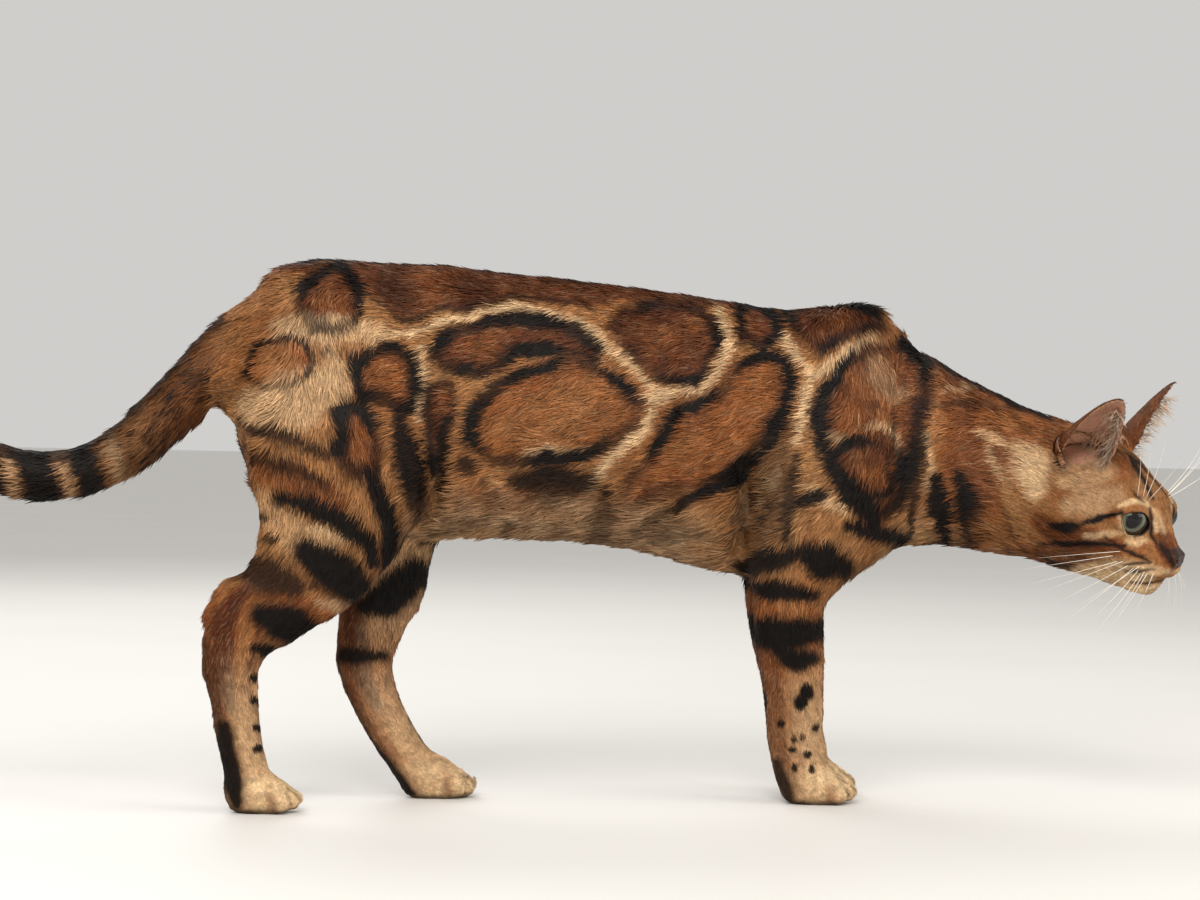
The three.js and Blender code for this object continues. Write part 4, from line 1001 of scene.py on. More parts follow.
def trunk_marks(points, normals):
    """Masks of the trunk and neck: the drawn marks, a dark back and a mottled belly."""
    chart = chart_of(points)
    warm, dark, pale = draw_body(chart)
    x, y = chart.T
    cloud = noise(points, 22, 52)
    # The back above the drawn marks is dark and clouded, darkest along the spine.
    back_edge = np.interp(x, *BACK_EDGE)
    top = fade(y, back_edge - 6, back_edge + 4) * (step(x, 255, 300) * fade(x, 880, 960))
    spine = fade(np.abs(points[:, 1]), 5, 13) * step(normals[:, 2], 0.3, 0.8)
    warm = np.maximum(warm, top * (0.9 + 0.15 * cloud))
    dark = np.maximum(dark, top * np.clip(0.30 + 0.55 * cloud, 0, 0.8))
    dark = np.maximum(dark, spine * top * 0.8)
    # The belly is pale with dark blotches, and smudged where it turns up into the flank.
    under = step(-normals[:, 2], 0.15, 0.7) * step(x, 410, 440)
    belly = np.maximum(under, step(y, BELLY_LEVEL - 60, BELLY_LEVEL - 12) * (x < 760))
    belly *= fade(x, 690, 735)
    blotch = step(noise(points * [1, 1, 0.3], 17, 53), 0.25, 0.5) * under
    dark = np.maximum(dark * (1 - 0.35 * belly), 0.6 * blotch)
    pale = np.maximum(pale, 0.2 * belly * (1 + 0.8 * noise(points, 8, 58)) + 0.15 * under)
    smudge = np.minimum(mottled(points, 0.3, 0.5, 9, 60), 0.8)
    dark = np.maximum(dark, smudge * (belly - under))
    # Painted shade in the fold behind the elbow, in streaks.
    shade_elbow_fold(points, chart, dark, pale)
    # The neck and the lower rump are rusty.
    rust = step(x, 925, 950) * (0.62 + 0.25 * noise(points, 20, 54))
    warm = np.maximum(warm, rust * (1 - pale))
    warm = np.maximum(warm, fade(x, 250, 330) * step(y, 420, 470) * 0.45)
    dark = np.maximum(dark, mottled(points, 0.16, 0.3, 6, 59) * (1 - 0.7 * pale))
    return np.maximum(warm, 0.22 + 0.2 * cloud), dark, pale, noise(points, 2.2, 51)


def toe_furrow_shade(points, name):
    """1 in the furrows between the toes of a foot: painted shade, which also stands for the darker
    fur there.
    """
    x, y, width = PAWS[name]
    along = np.abs((points[:, 1] - y) / (TOE_PITCH * width))
    furrow = np.minimum(np.abs(along), np.abs(along - 1))
    low = fade(points[:, 2], 12, 20) * step(points[:, 0], x + 6, x + 12)
    return bump(furrow, 0, 0.14) * low


def leg_marks(points, normals, name):
    """Masks of a leg: the drawn marks, pale towards the foot, with dark soles."""
    chart = leg_chart(points, name)
    warm, dark, pale = draw_body(chart)
    side = RIGHT if name.endswith("right") else LEFT
    inner = step(-side * normals[:, 1], 0.1, 0.6)
    if name == "hind_left":
        seen = as_seen(points) + 1.5 * noise(points, 9, 39)[:, None]
        dark = dark * (1 - inner) + strokes(seen, FAR_STROKES) * inner
    # Lower down the leg grows warmer, then paler in front; its rear stays warm.
    z = points[:, 2]
    cloud = noise(points, 16, 55)
    low = fade(z, 60, 165)
    rear = step(-normals[:, 0], -0.1, 0.6)
    warm = np.maximum(warm, (0.38 + 0.2 * cloud) * (0.5 + 0.5 * low))
    warm = np.maximum(warm, 0.8 * rear * fade(z, 90, 150))
    pale = np.maximum(pale, 0.5 * low * fade(z, 34, 110) * (1 - 0.8 * rear))
    pale = np.maximum(pale, 0.35 * inner * step(z, 60, 110) * (1 - rear))
    # Painted shade in the fold behind the front elbows, in streaks.
    if name.startswith("front"):
        shade_elbow_fold(points, chart, dark, pale)
    dark = np.maximum(dark, mottled(points, 0.1, 0.3, 6, 59) * (1 - low))
    pale = np.maximum(pale, (0.9 + 0.2 * cloud) * fade(z, 14, 34) * (1 - 0.7 * rear))
    # Painted shade in the furrows between the toes, partly the darker fur there.
    dark = np.maximum(dark, 0.55 * toe_furrow_shade(points, name))
    sole = fade(z, 1.5, 4.5)
    return warm, np.maximum(dark, 0.7 * sole), pale, noise(points, 2.2, 51)


def tail_marks(points, normals):
    """Masks of the tail: grizzled, then dark with pale rings, and a dark upper side."""
    x, y = as_seen(points).T
    x = x + 0.35 * (470 - y) + 3 * noise(points, 8, 56)
    speckle = noise(points, 1.6, 51)
    start, end = TAIL_GRIZZLE
    tip = fade(x, end - 34, end)
    rings = np.clip(sum(bump(x, middle, TAIL_RING) for middle in TAIL_RINGS), 0, 1)
    grizzle = 0.62 + 0.45 * speckle + 0.25 * noise(points, 18, 57)
    dark = np.clip(grizzle * (1 - tip) * fade(x, start, start + 50), 0, 1)
    dark = np.maximum(dark, tip * (1 - 0.85 * rings))
    dark = np.maximum(dark, 0.85 * step(normals[:, 2], 0.1, 0.7))
    warm = 0.35 + 0.2 * noise(points, 25, 58)
    return warm, np.clip(dark, 0, 1), 0.4 * rings, speckle


def head_marks(points, normals):
    """Masks of the head, the same on both its sides."""
    head = to_head(points)
    a, r, n = head.T
    here = from_head(on_side(mirrored(head), RIGHT))
    chart = as_seen(here) + 0.9 * wander(here, 3, 61)
    dark, warm = strokes(chart, HEAD_STROKES), strokes(chart, HEAD_WARM)
    pale = strokes(chart, HEAD_PALE, HEAD_CREAM)
    pale = np.maximum(pale, 0.5 * fade(n, -34, -24) * step(a, -60, -30))
    warm = np.maximum(warm, 0.26 + 0.25 * noise(here, 10, 63))
    speckle = noise(here, 1.6, 64)
    dark = np.maximum(dark, np.clip(0.12 + 0.25 * speckle, 0, 1) * (a < -36) * (1 - pale))
    # The backs of the ears are rusty, darker towards their tips.
    ear = ear_share(head)
    height, _, _ = in_ear(head)
    warm = warm * (1 - ear) + ear * 0.85
    dark = dark * (1 - ear) + ear * (0.25 * noise(here, 5, 65) + 0.3 * step(height, 34, 48))
    pale = pale * (1 - ear) + ear_inner(points, normals) * 0.6
    crown = bump(np.abs(r), 5, 3) * step(a, -84, -60) * fade(a, -42, -34) * (n > 12)
    return warm, np.maximum(dark, 0.85 * crown * (1 - ear)), pale, speckle


# ---------------------------------------------------------------- sculpting the face and feet
MOUTH = [(-3, 2, -14.5), (-10, 9, -16.5), (-20, 14, -18), (-32, 18, -16.5)]
TEAR_DUCT = [(-26.5, 10.5, 5.5), (-22, 8.5, 1.5), (-18, 7.5, -2)]
NOSTRIL, NOSTRIL_SIZE = np.array([[-2.2, 3.9, -1.0], [2.4, 1.25, 1.05]])
NOSTRIL_WING = NOSTRIL + [-1.2, 1.9, 0.6]
PAD, LIP, CHIN = np.array([[-9, 6.5, -12], [-9, 0, -18], [-13, 0, -23]])
PAD_RISE, LIP_RISE, CHIN_RISE = 2.2, 2.4, 4.2
PAWS = {"front_right": (318, -18.5, 31), "front_left": (330, 18.5, 31),
        "hind_right": (0.5, -25, 29), "hind_left": (105.5, 25, 29)}    # x, y, width
TOE_SLOTS = (-1.5, -0.5, 0.5, 1.5)
TOE_PITCH, TOE_RADIUS, OUTER_SETBACK = 0.235, 0.200, 9.0     # of the paw's width; mm
TOE_FROM, TOE_TO = (-3.0, 19.5), (14.5, 6.4)                 # ahead of the paw's x, height
TOE_REACH = (-1.0, 4.5)           # mm the coat's surface may sink or rise to meet a toe


def mirrored(head):
    """Head-frame points brought to the left side."""
    return head * [1, 0, 1] + np.abs(head) * [0, 1, 0]


def face_relief(points):
    """How far the face's fine forms stand above the plain surface, in mm."""
    half = mirrored(to_head(points))
    a, r, n = half.T
    mouth, _ = near_line(half, MOUTH)
    duct, _ = near_line(half, TEAR_DUCT)
    rise = -0.9 * bump(mouth, 0, 0.8)
    rise += 0.5 * bump(mouth, 3.2, 1.8) * (n > -14)
    rise -= 0.9 * bump(duct, 0, 1.3)
    philtrum = bump(r, 0, 0.7) * (a > -9) * step(-n, 3.5, 5) * fade(-n, 12, 15)
    rise -= 0.9 * philtrum
    hole = np.linalg.norm((half - NOSTRIL) / NOSTRIL_SIZE, axis=1)
    rise -= 2.1 * fade(hole, 0.55, 1.25)
    rise += 0.5 * blob(half, NOSTRIL_WING, 1.5)
    rise += PAD_RISE * blob(half, PAD, 6) * step(-n, 2, 6)
    rise += CHIN_RISE * blob(half, CHIN, 7)
    rise += LIP_RISE * blob(half, LIP, 4)
    leather_edge = bump(np.hypot(r - 5.4, n + 4.2), 0, 0.9) * (a > -7)
    return rise - 0.5 * leather_edge


BODY_BUMPS = [                    # middle, spread and rise in mm
    ((368, -8, 280), 16, -9.0), ((338, 0, 287), 18, 2.5), ((22, 0, 297), 26, 3.5)]


def body_relief(points):
    """Small corrections of the outline at withers and rump, in mm."""
    return sum(height * blob(points, middle, spread) for middle, spread, height in BODY_BUMPS)


def toe_relief(points):
    """How far the skin moves outwards to lie on the toes, in mm."""
    rise = np.zeros(len(points))
    for x, y, width in PAWS.values():
        near = (np.abs(points[:, 0] - x - 8) < 28) & (np.abs(points[:, 1] - y) < 24)
        near &= points[:, 2] < 30
        local = points[near] - [x, y, 0]
        gap = np.full(len(local), 99.0)
        for slot in TOE_SLOTS:
            back = OUTER_SETBACK * (abs(slot) > 1)
            rear = [TOE_FROM[0], 0.8 * slot * TOE_PITCH * width, TOE_FROM[1]]
            tip = [TOE_TO[0] - back, slot * TOE_PITCH * width, TOE_TO[1]]
            off, _ = near_line(local, [rear, tip])
            gap = np.minimum(gap, off - TOE_RADIUS * width)
        ahead = step(local[:, 0], -6, 4) * step(local[:, 2], 0.8, 3) * fade(local[:, 2], 20, 29)
        rise[near] = -np.clip(gap, *TOE_REACH) * ahead
    return rise


# ---------------------------------------------------------------- the openings of the eyes
EYE_HALF_WIDTH, EYE_UPPER, EYE_LOWER = 10.0, 7.0, 8.6
EYE_TILT = 12.0                   # degrees by which the outer corner stands higher
ALMOND = 1.55                     # 2 would be an ellipse, less gives pointed corners
RIM_RADIUS = 12.0                 # from the middle of the eye out to the edge of the lids
LID_REACH = 14.5                  # the lids lie nearer than this to the middle of the eye
HOLE_REACH = 15.0                 # and so does the rim of the hole cut for them
FAR_FROM_OPENING = 9.0
LID_TURNS = [                     # rings of the lids' edge as it turns in: radius and scale
    (RIM_RADIUS - 0.05, 0.965), (RIM_RADIUS - 0.5, 0.93), (10.9, 0.93), (9.6, 0.95)]


def in_eye(points, side):
    """Distance along an eye's sight, outwards and up, from its middle."""
    return (points - eye_centre(side)) @ eye_axes(side)


def from_eye(local, side):
    return local @ eye_axes(side).T + eye_centre(side)


def opening(local):
    """1 on the edge of the lids, less inside the opening."""
    tilt = math.radians(EYE_TILT)
    across = local[:, 1] * math.cos(tilt) + local[:, 2] * math.sin(tilt)
    up = local[:, 2] * math.cos(tilt) - local[:, 1] * math.sin(tilt)
    high = np.where(up > 0, EYE_UPPER, EYE_LOWER)
    sum_of_powers = np.abs(across / EYE_HALF_WIDTH) ** ALMOND + np.abs(up / high) ** ALMOND
    edge = sum_of_powers ** (1 / ALMOND)
    return np.where(local[:, 0] > 0, edge, FAR_FROM_OPENING)


def lid_edge(points, low, high, shade=lambda local: 1.0):
    """1 on the edge of the lids of both eyes, 0 where opening() is above high."""
    mask = np.zeros(len(points))
    for side in SIDES:
        local = in_eye(points, side)
        close = apart(local, 0) < LID_REACH
        mask = np.maximum(mask, fade(opening(local), low, high) * close * shade(local))
    return mask


def on_ball(local, radius, scale=1.0):
    """The same outwards and up places, scaled, on a ball of the given radius."""
    flat = local[:, 1:] * scale
    ahead = np.sqrt(np.maximum(radius**2 - (flat**2).sum(axis=1), 0))
    return np.column_stack([ahead, flat])


def open_lids(points, triangles, side):
    """Cuts the opening of an eye, and gives the lids an edge that turns in under them."""
    local = in_eye(points, side)
    edge = opening(local)
    triangles = triangles[edge[triangles].mean(axis=1) > 1]
    rim = boundary(points, triangles, eye_centre(side), HOLE_REACH)
    rim_place = on_ball(local[rim], RIM_RADIUS)
    rim_place = on_ball(rim_place, RIM_RADIUS, 1 / opening(rim_place)[:, None])
    points = points.copy()
    points[rim] = from_eye(rim_place, side)
    movable = (edge < 1.45) & (local[:, 0] > 0)
    movable[rim] = False
    points = evened(points, edges_of(triangles), movable, [0.5] * 6)
    rings = [from_eye(on_ball(rim_place, radius, scale), side) for radius, scale in LID_TURNS]
    count = len(rim)
    inner = len(points) + np.arange(len(rings) * count).reshape(-1, count)
    hub = np.full(count, len(points) + inner.size)
    rows = [np.array(rim), *inner, hub]
    points = np.concatenate([points, *rings, eye_centre(side)[None]])
    return points, np.concatenate([triangles, *turned_in(rows)])


def turned_in(rows):
    """Triangles between closed rows of point numbers; the last row is one point repeated."""
    faces = []
    for outer, inner in zip(rows[:-2], rows[1:-1]):
        ahead_outer, ahead_inner = np.roll(outer, -1), np.roll(inner, -1)
        faces.append(np.stack([outer, inner, ahead_inner], 1))
        faces.append(np.stack([outer, ahead_inner, ahead_outer], 1))
    faces.append(np.stack([rows[-2], rows[-1], np.roll(rows[-2], -1)], 1))
    return faces


def boundary(points, triangles, centre, reach):
    """The rim of a hole near a point, with the surface on the left of its direction."""
    pairs = np.concatenate([triangles[:, [0, 1]], triangles[:, [1, 2]], triangles[:, [2, 0]]])
    key = pairs.min(axis=1) * len(points) + pairs.max(axis=1)
    _, first, count = np.unique(key, return_index=True, return_counts=True)
    lone = pairs[first[count == 1]]
    lone = lone[np.linalg.norm(points[lone[:, 0]] - centre, axis=1) < reach]
    rim = ring([(int(a), int(b)) for a, b in lone])
    forward = {(int(a), int(b)) for a, b in lone}
    if (rim[0], rim[1]) in forward:
        rim = rim[::-1]
    return rim


# ---------------------------------------------------------------- the whole skin
def grow_skin():
    """Points and triangles of the closed skin, inside the CAD's flesh by the coat's depth."""
    points, faces = whole_surface()
    triangles = triangles_of(faces)
    normals = corner_normals(points, triangles)
    relief = face_relief(points) + toe_relief(points) + body_relief(points)
    points = points + normals * (relief - coat_depth(points))[:, None]
    for side in SIDES:
        points, triangles = open_lids(points, triangles, side)
    return points, triangles


# ---------------------------------------------------------------- the lie of the coat
def tangent(way, normals):
    """Directions laid flat on the surface."""
    return unit(way - (way * normals).sum(axis=1)[:, None] * normals)


def ear_side_of(head):
    return np.where(head[:, 1] > 0, LEFT, RIGHT)


EAR_AXIS = 5.5                    # mm that the middle of the ear's hollow lies ahead of its wall


def in_ear(head):
    """Height up the ear, how far ahead of its middle, and the way to its axis, head frame."""
    height, ahead = np.zeros((2, len(head)))
    inward = np.zeros((len(head), 3))
    for side in SIDES:
        rise, facing, _ = ear_axes(side)
        mine = ear_side_of(head) == side
        away = head[mine] - on_side(EAR_BASE, side)
        height[mine] = away @ rise
        ahead[mine] = away @ facing
        inward[mine] = height[mine, None] * rise + EAR_AXIS * facing - away
    return height, ahead, inward


def ear_inner(points, normals):
    """1 on the hollow wall of the ears and the floor between them, 0 elsewhere."""
    head = to_head(points)
    height, ahead, inward = in_ear(head)
    facing_in = ((normals @ HEAD) * unit(inward)).sum(axis=1)
    walls = ear_share(head) * step(facing_in, 0.15, 0.5)
    floor = fade(apart(inward, 0), 12, 15)
    floor *= ear_share(head, -16, -10) * fade(ahead, 5, 10) * fade(height, 4, 9)
    return np.maximum(walls, floor)


ON_HEAD = 0.3                     # share above which a tuft counts as one of the head's


def head_share(points):
    """1 on the head, 0 on the neck and behind, for points in the cat's frame."""
    return step(to_head(points)[:, 0], -112, -90) * (points[:, 0] > 380)


def head_way(points):
    """Which way hair lies on the head, in the cat's frame."""
    head = to_head(points)
    a, r, n = head.T
    side = np.sign(r) * np.minimum(np.abs(r) / 14, 1)
    way = np.stack([-np.ones_like(a), 0.3 * side, np.full_like(a, -0.12)], axis=1)
    pads = step(a, -26, -18) * fade(n, -4, 1)
    way += pads[:, None] * np.stack([np.full_like(a, 0.45), 0.8 * side, np.full_like(a, -0.45)], 1)
    for eye_side in SIDES:
        away = head - on_side(EYE_CENTRE, eye_side)
        way += 1.5 * bump(apart(away, 0), 12, 5)[:, None] * unit(away)
    for eye_side in SIDES:
        rise, _, _ = ear_axes(eye_side)
        ear = (ear_share(head) * (ear_side_of(head) == eye_side))[:, None]
        way = way * (1 - ear) + ear * rise
    return way @ HEAD.T


def hair_way(points, normals, lay):
    """Unit tangents along which the coat lies."""
    trunk = lay.share[BONE_NAMES.index("spine")] + lay.share[BONE_NAMES.index("throat")]
    way = lay.way + (trunk * np.abs(normals[:, 1]) * 0.4)[:, None] * np.array([0, 0, -1.0])
    at_head = head_share(points)[:, None]
    way = way * (1 - at_head) + unit(head_way(points)) * at_head
    return tangent(way, normals)


# Lengths of tufts in mm: on the legs by height, on the head by distance behind the nose.
LEG_LENGTHS = ([0, 12, 30, 60, 120, 180, 240], [1.7, 2.3, 3.0, 4.0, 6.2, 8.2, 8.8])
HEAD_LENGTHS = ([0, 10, 20, 34, 48, 66, 90, 112], [1.1, 1.4, 1.9, 2.5, 3.6, 5.0, 7.0, 8.5])
TRUNK_LENGTH, TAIL_LENGTH, EAR_HAIR = 8.8, 9.0, 2.2


def hair_length(points, normals, lay):
    """Length of the coat's tufts, in mm."""
    length = np.full(len(points), TRUNK_LENGTH)
    length += 2.0 * step(-normals[:, 2], 0.3, 0.8) * lay.on("spine")
    for name in LEGS:
        on = lay.on(name)
        length[on] = np.interp(points[on, 2], *LEG_LENGTHS)
    length[lay.on("tail")] = TAIL_LENGTH
    head = to_head(points)
    on_head = np.interp(-head[:, 0], *HEAD_LENGTHS)
    on_head *= 1 + 0.5 * step(-head[:, 2], 16, 26)
    eye_gap = np.min([apart(head, on_side(EYE_CENTRE, side)) for side in SIDES], axis=0)
    on_head *= 0.55 + 0.45 * step(eye_gap, 12, 20)
    share = head_share(points)
    length = length * (1 - share) + on_head * share
    ear = ear_share(head)
    return length * (1 - ear) + EAR_HAIR * ear


def bare_skin(points):
    """1 where no tufts grow at all: nose leather, lips and lid edges."""
    half = mirrored(to_head(points))
    mouth, _ = near_line(half, MOUTH)
    lips = fade(mouth, 0.4, 0.9) * head_share(points)
    return np.clip(nose_leather(half) + lid_edge(points, 1.02, 1.1) + lips, 0, 1)


def nose_leather(half):
    """1 on the bare nose, for points of the head brought to its left side."""
    a, r, n = half.T
    half_width = np.interp(n, [-7, -5, -2, 2, 5.5], [0.8, 2.5, 5.2, 6.6, 5.8])
    shape = fade(r, half_width - 0.4, half_width + 0.4) * step(a, -8.5, -6.5)
    return shape * step(n, -8, -6.5) * fade(n, 4.6, 5.6) * (np.abs(a) < 20)


# ---------------------------------------------------------------- marks of skin and coat
def marks_at(points, normals, lay):
    """Warm, dark and pale masks and a fine speckle, for any points of skin or coat."""
    result = np.zeros((4, len(points)))
    share = head_share(points)
    for name in BONE_NAMES:
        mine = lay.on(name) & (share < 1)
        if not mine.any():
            continue
        here = points[mine], normals[mine]
        made = tail_marks(*here) if name == "tail" else trunk_marks(*here)
        if name in LEGS:
            upper = step(here[0][:, 2], 168, 205)
            made = [m * (1 - upper) + t * upper for m, t in zip(leg_marks(*here, name), made)]
        result[:, mine] = made
    on_head = share > 0
    head = np.array(head_marks(points[on_head], normals[on_head]))
    result[:, on_head] = result[:, on_head] * (1 - share[on_head]) + head * share[on_head]
    return result


# ---------------------------------------------------------------- tufts
TUFTS = 350_000
SHAPE = 0.042, 0.19               # width of a tuft: share of its length, and what is added
LIFT = 0.15                       # radians by which a tuft leaves the skin
THIGH_CLEFT = np.array([-12.0, 0.0, 184.0])       # middle of the short hair below the tail
CHEST_FRINGE = np.array([338.0, -8.0, 122.0])     # middle of the longer hair of the chest
CLEFT_SPREAD, FRINGE_SPREAD = 18, 22
BEND_AT = 0.36                    # where along a tuft it is widest and turns flatter
ROOT_DEPTH = 0.3                  # mm that a tuft starts inside the skin
STRAY, SWIRL = 0.16, 0.30         # radians that tufts turn aside, each alone and in drifts
CLUMP = 0.22                      # of its length that a tip leans aside towards its clump
LIFTS = (0.05, 0.8)               # least and most lift in radians
STEEP, FLAT = 1.7, 0.55           # lift of a tuft's first and second part, as shares of LIFT
FLOOR_GAP = 0.05                  # mm that tufts keep above the floor


def interpolated(values, corners, weights):
    values = np.asarray(values, float)
    if values.ndim == 1:
        return (values[corners] * weights).sum(axis=1)
    return (values[corners] * weights[:, :, None]).sum(axis=1)


def scatter(points, triangles, density, count):
    """Random places on triangles, as corner numbers and weights."""
    a, b, c = (points[triangles[:, k]] for k in range(3))
    area = np.linalg.norm(np.cross(b - a, c - a), axis=1) / 2
    total = np.cumsum(area * density[triangles].mean(axis=1))
    picks = (np.arange(count) + RNG.random(count)) / count * total[-1]
    face = np.minimum(np.searchsorted(total, picks), len(triangles) - 1)
    root, other = np.sqrt(RNG.random(count)), RNG.random(count)
    weights = np.stack([1 - root, root * (1 - other), root * other], axis=1)
    return triangles[face], weights


def tuft_shapes(root, normal, way, length, lift):
    """Four corners for each tuft: root, two at its widest, and tip."""
    count = len(root)
    wander_by = STRAY * RNG.standard_normal(count) + SWIRL * noise(root, 14, 71)
    across = np.cross(normal, way)
    way = way * np.cos(wander_by)[:, None] + across * np.sin(wander_by)[:, None]
    across = np.cross(normal, way)
    lift = lift * (1 + 0.35 * noise(root, 8, 73) + 0.22 * RNG.standard_normal(count))
    lift = np.clip(lift, *LIFTS)
    first, second = (lift * STEEP)[:, None], (lift * FLAT)[:, None]
    size = (length * (1 + 0.16 * RNG.standard_normal(count)).clip(0.55, 1.5))[:, None]
    middle = root + BEND_AT * size * (way * np.cos(first) + normal * np.sin(first))
    reach = (1 - BEND_AT) * size
    tip = middle + reach * (way * np.cos(second) + normal * np.sin(second))
    tip += CLUMP * size * noise(root, 6, 72)[:, None] * across
    half = (SHAPE[0] * size + SHAPE[1]) * across / 2
    base = root - ROOT_DEPTH * normal - 0.05 * size * way
    tufts = np.stack([base, middle - half, middle + half, tip], axis=1)
    tufts[:, :, 2] = np.maximum(tufts[:, :, 2], FLOOR_GAP)
    return tufts


TUFT_FACES = np.array([[0, 1, 2], [1, 3, 2], [0, 3, 1], [0, 2, 3]])
MAP_EDGE, MAP_SPAN = 0.002, 0.99          # where tufts lie on the map of their piece
SOFT_ACROSS, SOFT_ALONG = 0.45, 0.15      # how far a tuft's normals lean at edges and tip
PATCH = 0.003 * np.array([[0, 0], [1, 0], [0, 1], [1, 1]])       # a tuft's place on the map


def fast_mesh(name, points, triangles):
    """Mesh from arrays of points and triangles, in the cat's frame."""
    mesh = bpy.data.meshes.new(name)
    mesh.vertices.add(len(points))
    mesh.vertices.foreach_set("co", to_row(points).astype(np.float32).ravel())
    mesh.loops.add(3 * len(triangles))
    mesh.loops.foreach_set("vertex_index", triangles.astype(np.int32).ravel())
    mesh.polygons.add(len(triangles))
    mesh.polygons.foreach_set("loop_start", np.arange(0, 3 * len(triangles), 3, dtype=np.int32))
    mesh.polygons.foreach_set("use_smooth", np.ones(len(triangles), bool))
    mesh.update()
    mesh.validate()
    return mesh


def attribute(mesh, name, values):
    values = np.asarray(values, np.float32)
    if values.ndim == 1:
        mesh.attributes.new(name, "FLOAT", "POINT").data.foreach_set("value", values)
    else:
        layer = mesh.attributes.new(name, "FLOAT_VECTOR", "POINT")
        layer.data.foreach_set("vector", values.ravel())


def place(mesh, slot_name, material):
    thing = bpy.data.objects.new(mesh.name, mesh)
    bpy.context.scene.collection.objects.link(thing)
    mesh.materials.append(material)
    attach(thing, "root")
    return thing


def coat_piece(name, slot_name, tufts, normals, looks, unwrapped, material):
    """One joined mesh of tufts, with its masks and its map for baking."""
    count = len(tufts)
    triangles = (TUFT_FACES + 4 * np.arange(count)[:, None, None]).reshape(-1, 3)
    mesh = fast_mesh(name, tufts.reshape(-1, 3), triangles)
    attribute(mesh, "marks", np.repeat(looks[:3].T, 4, axis=0))
    attribute(mesh, "strand", np.repeat(0.5 + 0.5 * looks[3], 4))
    attribute(mesh, "along", np.tile([0.0, BEND_AT, BEND_AT, 1.0], count))
    attribute(mesh, "bare", np.zeros((4 * count, 3)))
    corner = np.repeat(unwrapped, 4, axis=0) + np.tile(PATCH, (count, 1))
    layer = mesh.uv_layers.new(name="OFBake")
    layer.uv.foreach_set("vector", corner[triangles.ravel()].astype(np.float32).ravel())
    across = SOFT_ACROSS * unit(tufts[:, 2] - tufts[:, 1])
    ahead = SOFT_ALONG * unit(tufts[:, 3] - tufts[:, 0])
    soft = [normals, unit(normals - across), unit(normals + across), unit(normals + ahead)]
    mesh.normals_split_custom_set_from_vertices(np.stack(soft, axis=1).reshape(-1, 3))
    return place(mesh, slot_name, material)


REGIONS = {                       # piece name: the name of a material slot, which is passed along but not used
    "coat_face_right": "coat_face", "coat_face_left": "coat_face",
    "coat_nape_right": "coat_face", "coat_nape_left": "coat_face",
    "coat_throat": "coat_flank", "coat_tail": "coat_dark",
    "coat_chest_right": "coat_flank", "coat_chest_left": "coat_flank",
    "coat_loin_right": "coat_flank", "coat_loin_left": "coat_flank",
    "coat_rump_right": "coat_back", "coat_rump_left": "coat_back",
    "coat_front_right": "coat_leg", "coat_front_left": "coat_leg",
    "coat_hind_right": "coat_leg", "coat_hind_left": "coat_leg"}
REGION_NAMES = list(REGIONS)
TRUNK_PIECES = (("coat_rump", -99, 105), ("coat_loin", 105, 235), ("coat_chest", 235, 999))
FACE_LINE = -52.0                 # the face's pieces lie ahead of this, in the head's frame


def region_of(points, lay):
    """Number of the coat piece that each point belongs to."""
    region = np.zeros(len(points), int)

    def give(mask, stem, left):
        for word, half in (("_right", ~left), ("_left", left)):
            name = stem + word if stem + word in REGIONS else stem
            region[mask & half] = REGION_NAMES.index(name)

    x, y, _ = points.T
    for stem, low, high in TRUNK_PIECES:
        give(lay.on("spine") & (x > low) & (x <= high), stem, y > 0)
    for name in ("throat", "tail") + LEGS:
        give(lay.on(name), "coat_" + name, y > 0)
    head = to_head(points)
    on_head = head_share(points) > ON_HEAD
    face = head[:, 0] > FACE_LINE
    give(on_head & face, "coat_face", head[:, 1] > 0)
    give(on_head & ~face, "coat_nape", head[:, 1] > 0)
    return region


def unwrap(points, normals, lay):
    """Places on an unwrapped skin: round each part, and along it."""
    head = to_head(points)
    on_head = (head_share(points) > ON_HEAD)[:, None]
    on_ear = (ear_share(head) > 0.3)[:, None]
    turn_head = np.arctan2(head[:, 1], head[:, 2]) / (2 * math.pi) + 0.5
    height, _, _ = in_ear(head)
    inside = np.where(ear_inner(points, normals) > 0.5, 1.0, 0.0)
    body = np.stack([lay.turn, lay.at], axis=1)
    skull = np.stack([turn_head, -head[:, 0] / 40], axis=1)
    ear = np.stack([turn_head + inside, 4 + height / 30], axis=1)
    return np.where(on_ear, ear, np.where(on_head, skull, body))


def tuft_density(points, normals, length):
    """How many tufts an area needs, so that each place is covered by several."""
    width = SHAPE[0] * length + SHAPE[1]
    cover = 1.4 + 2.2 * step(length, 4, 10)
    bare = bare_skin(points)
    hollow = ear_inner(points, normals)
    return cover / (0.5 * length * width) * (1 - bare) * (1 - 0.9 * hollow)


def coat_looks(points, normals, lay):
    """Masks of the coat, a little different from tuft to tuft."""
    looks = marks_at(points, normals, lay)
    looks[1:3] += (0.07 * RNG.standard_normal((2, len(points)))) * (1 - looks[1:3])
    looks[3] += 0.5 * RNG.standard_normal(len(points))
    return looks


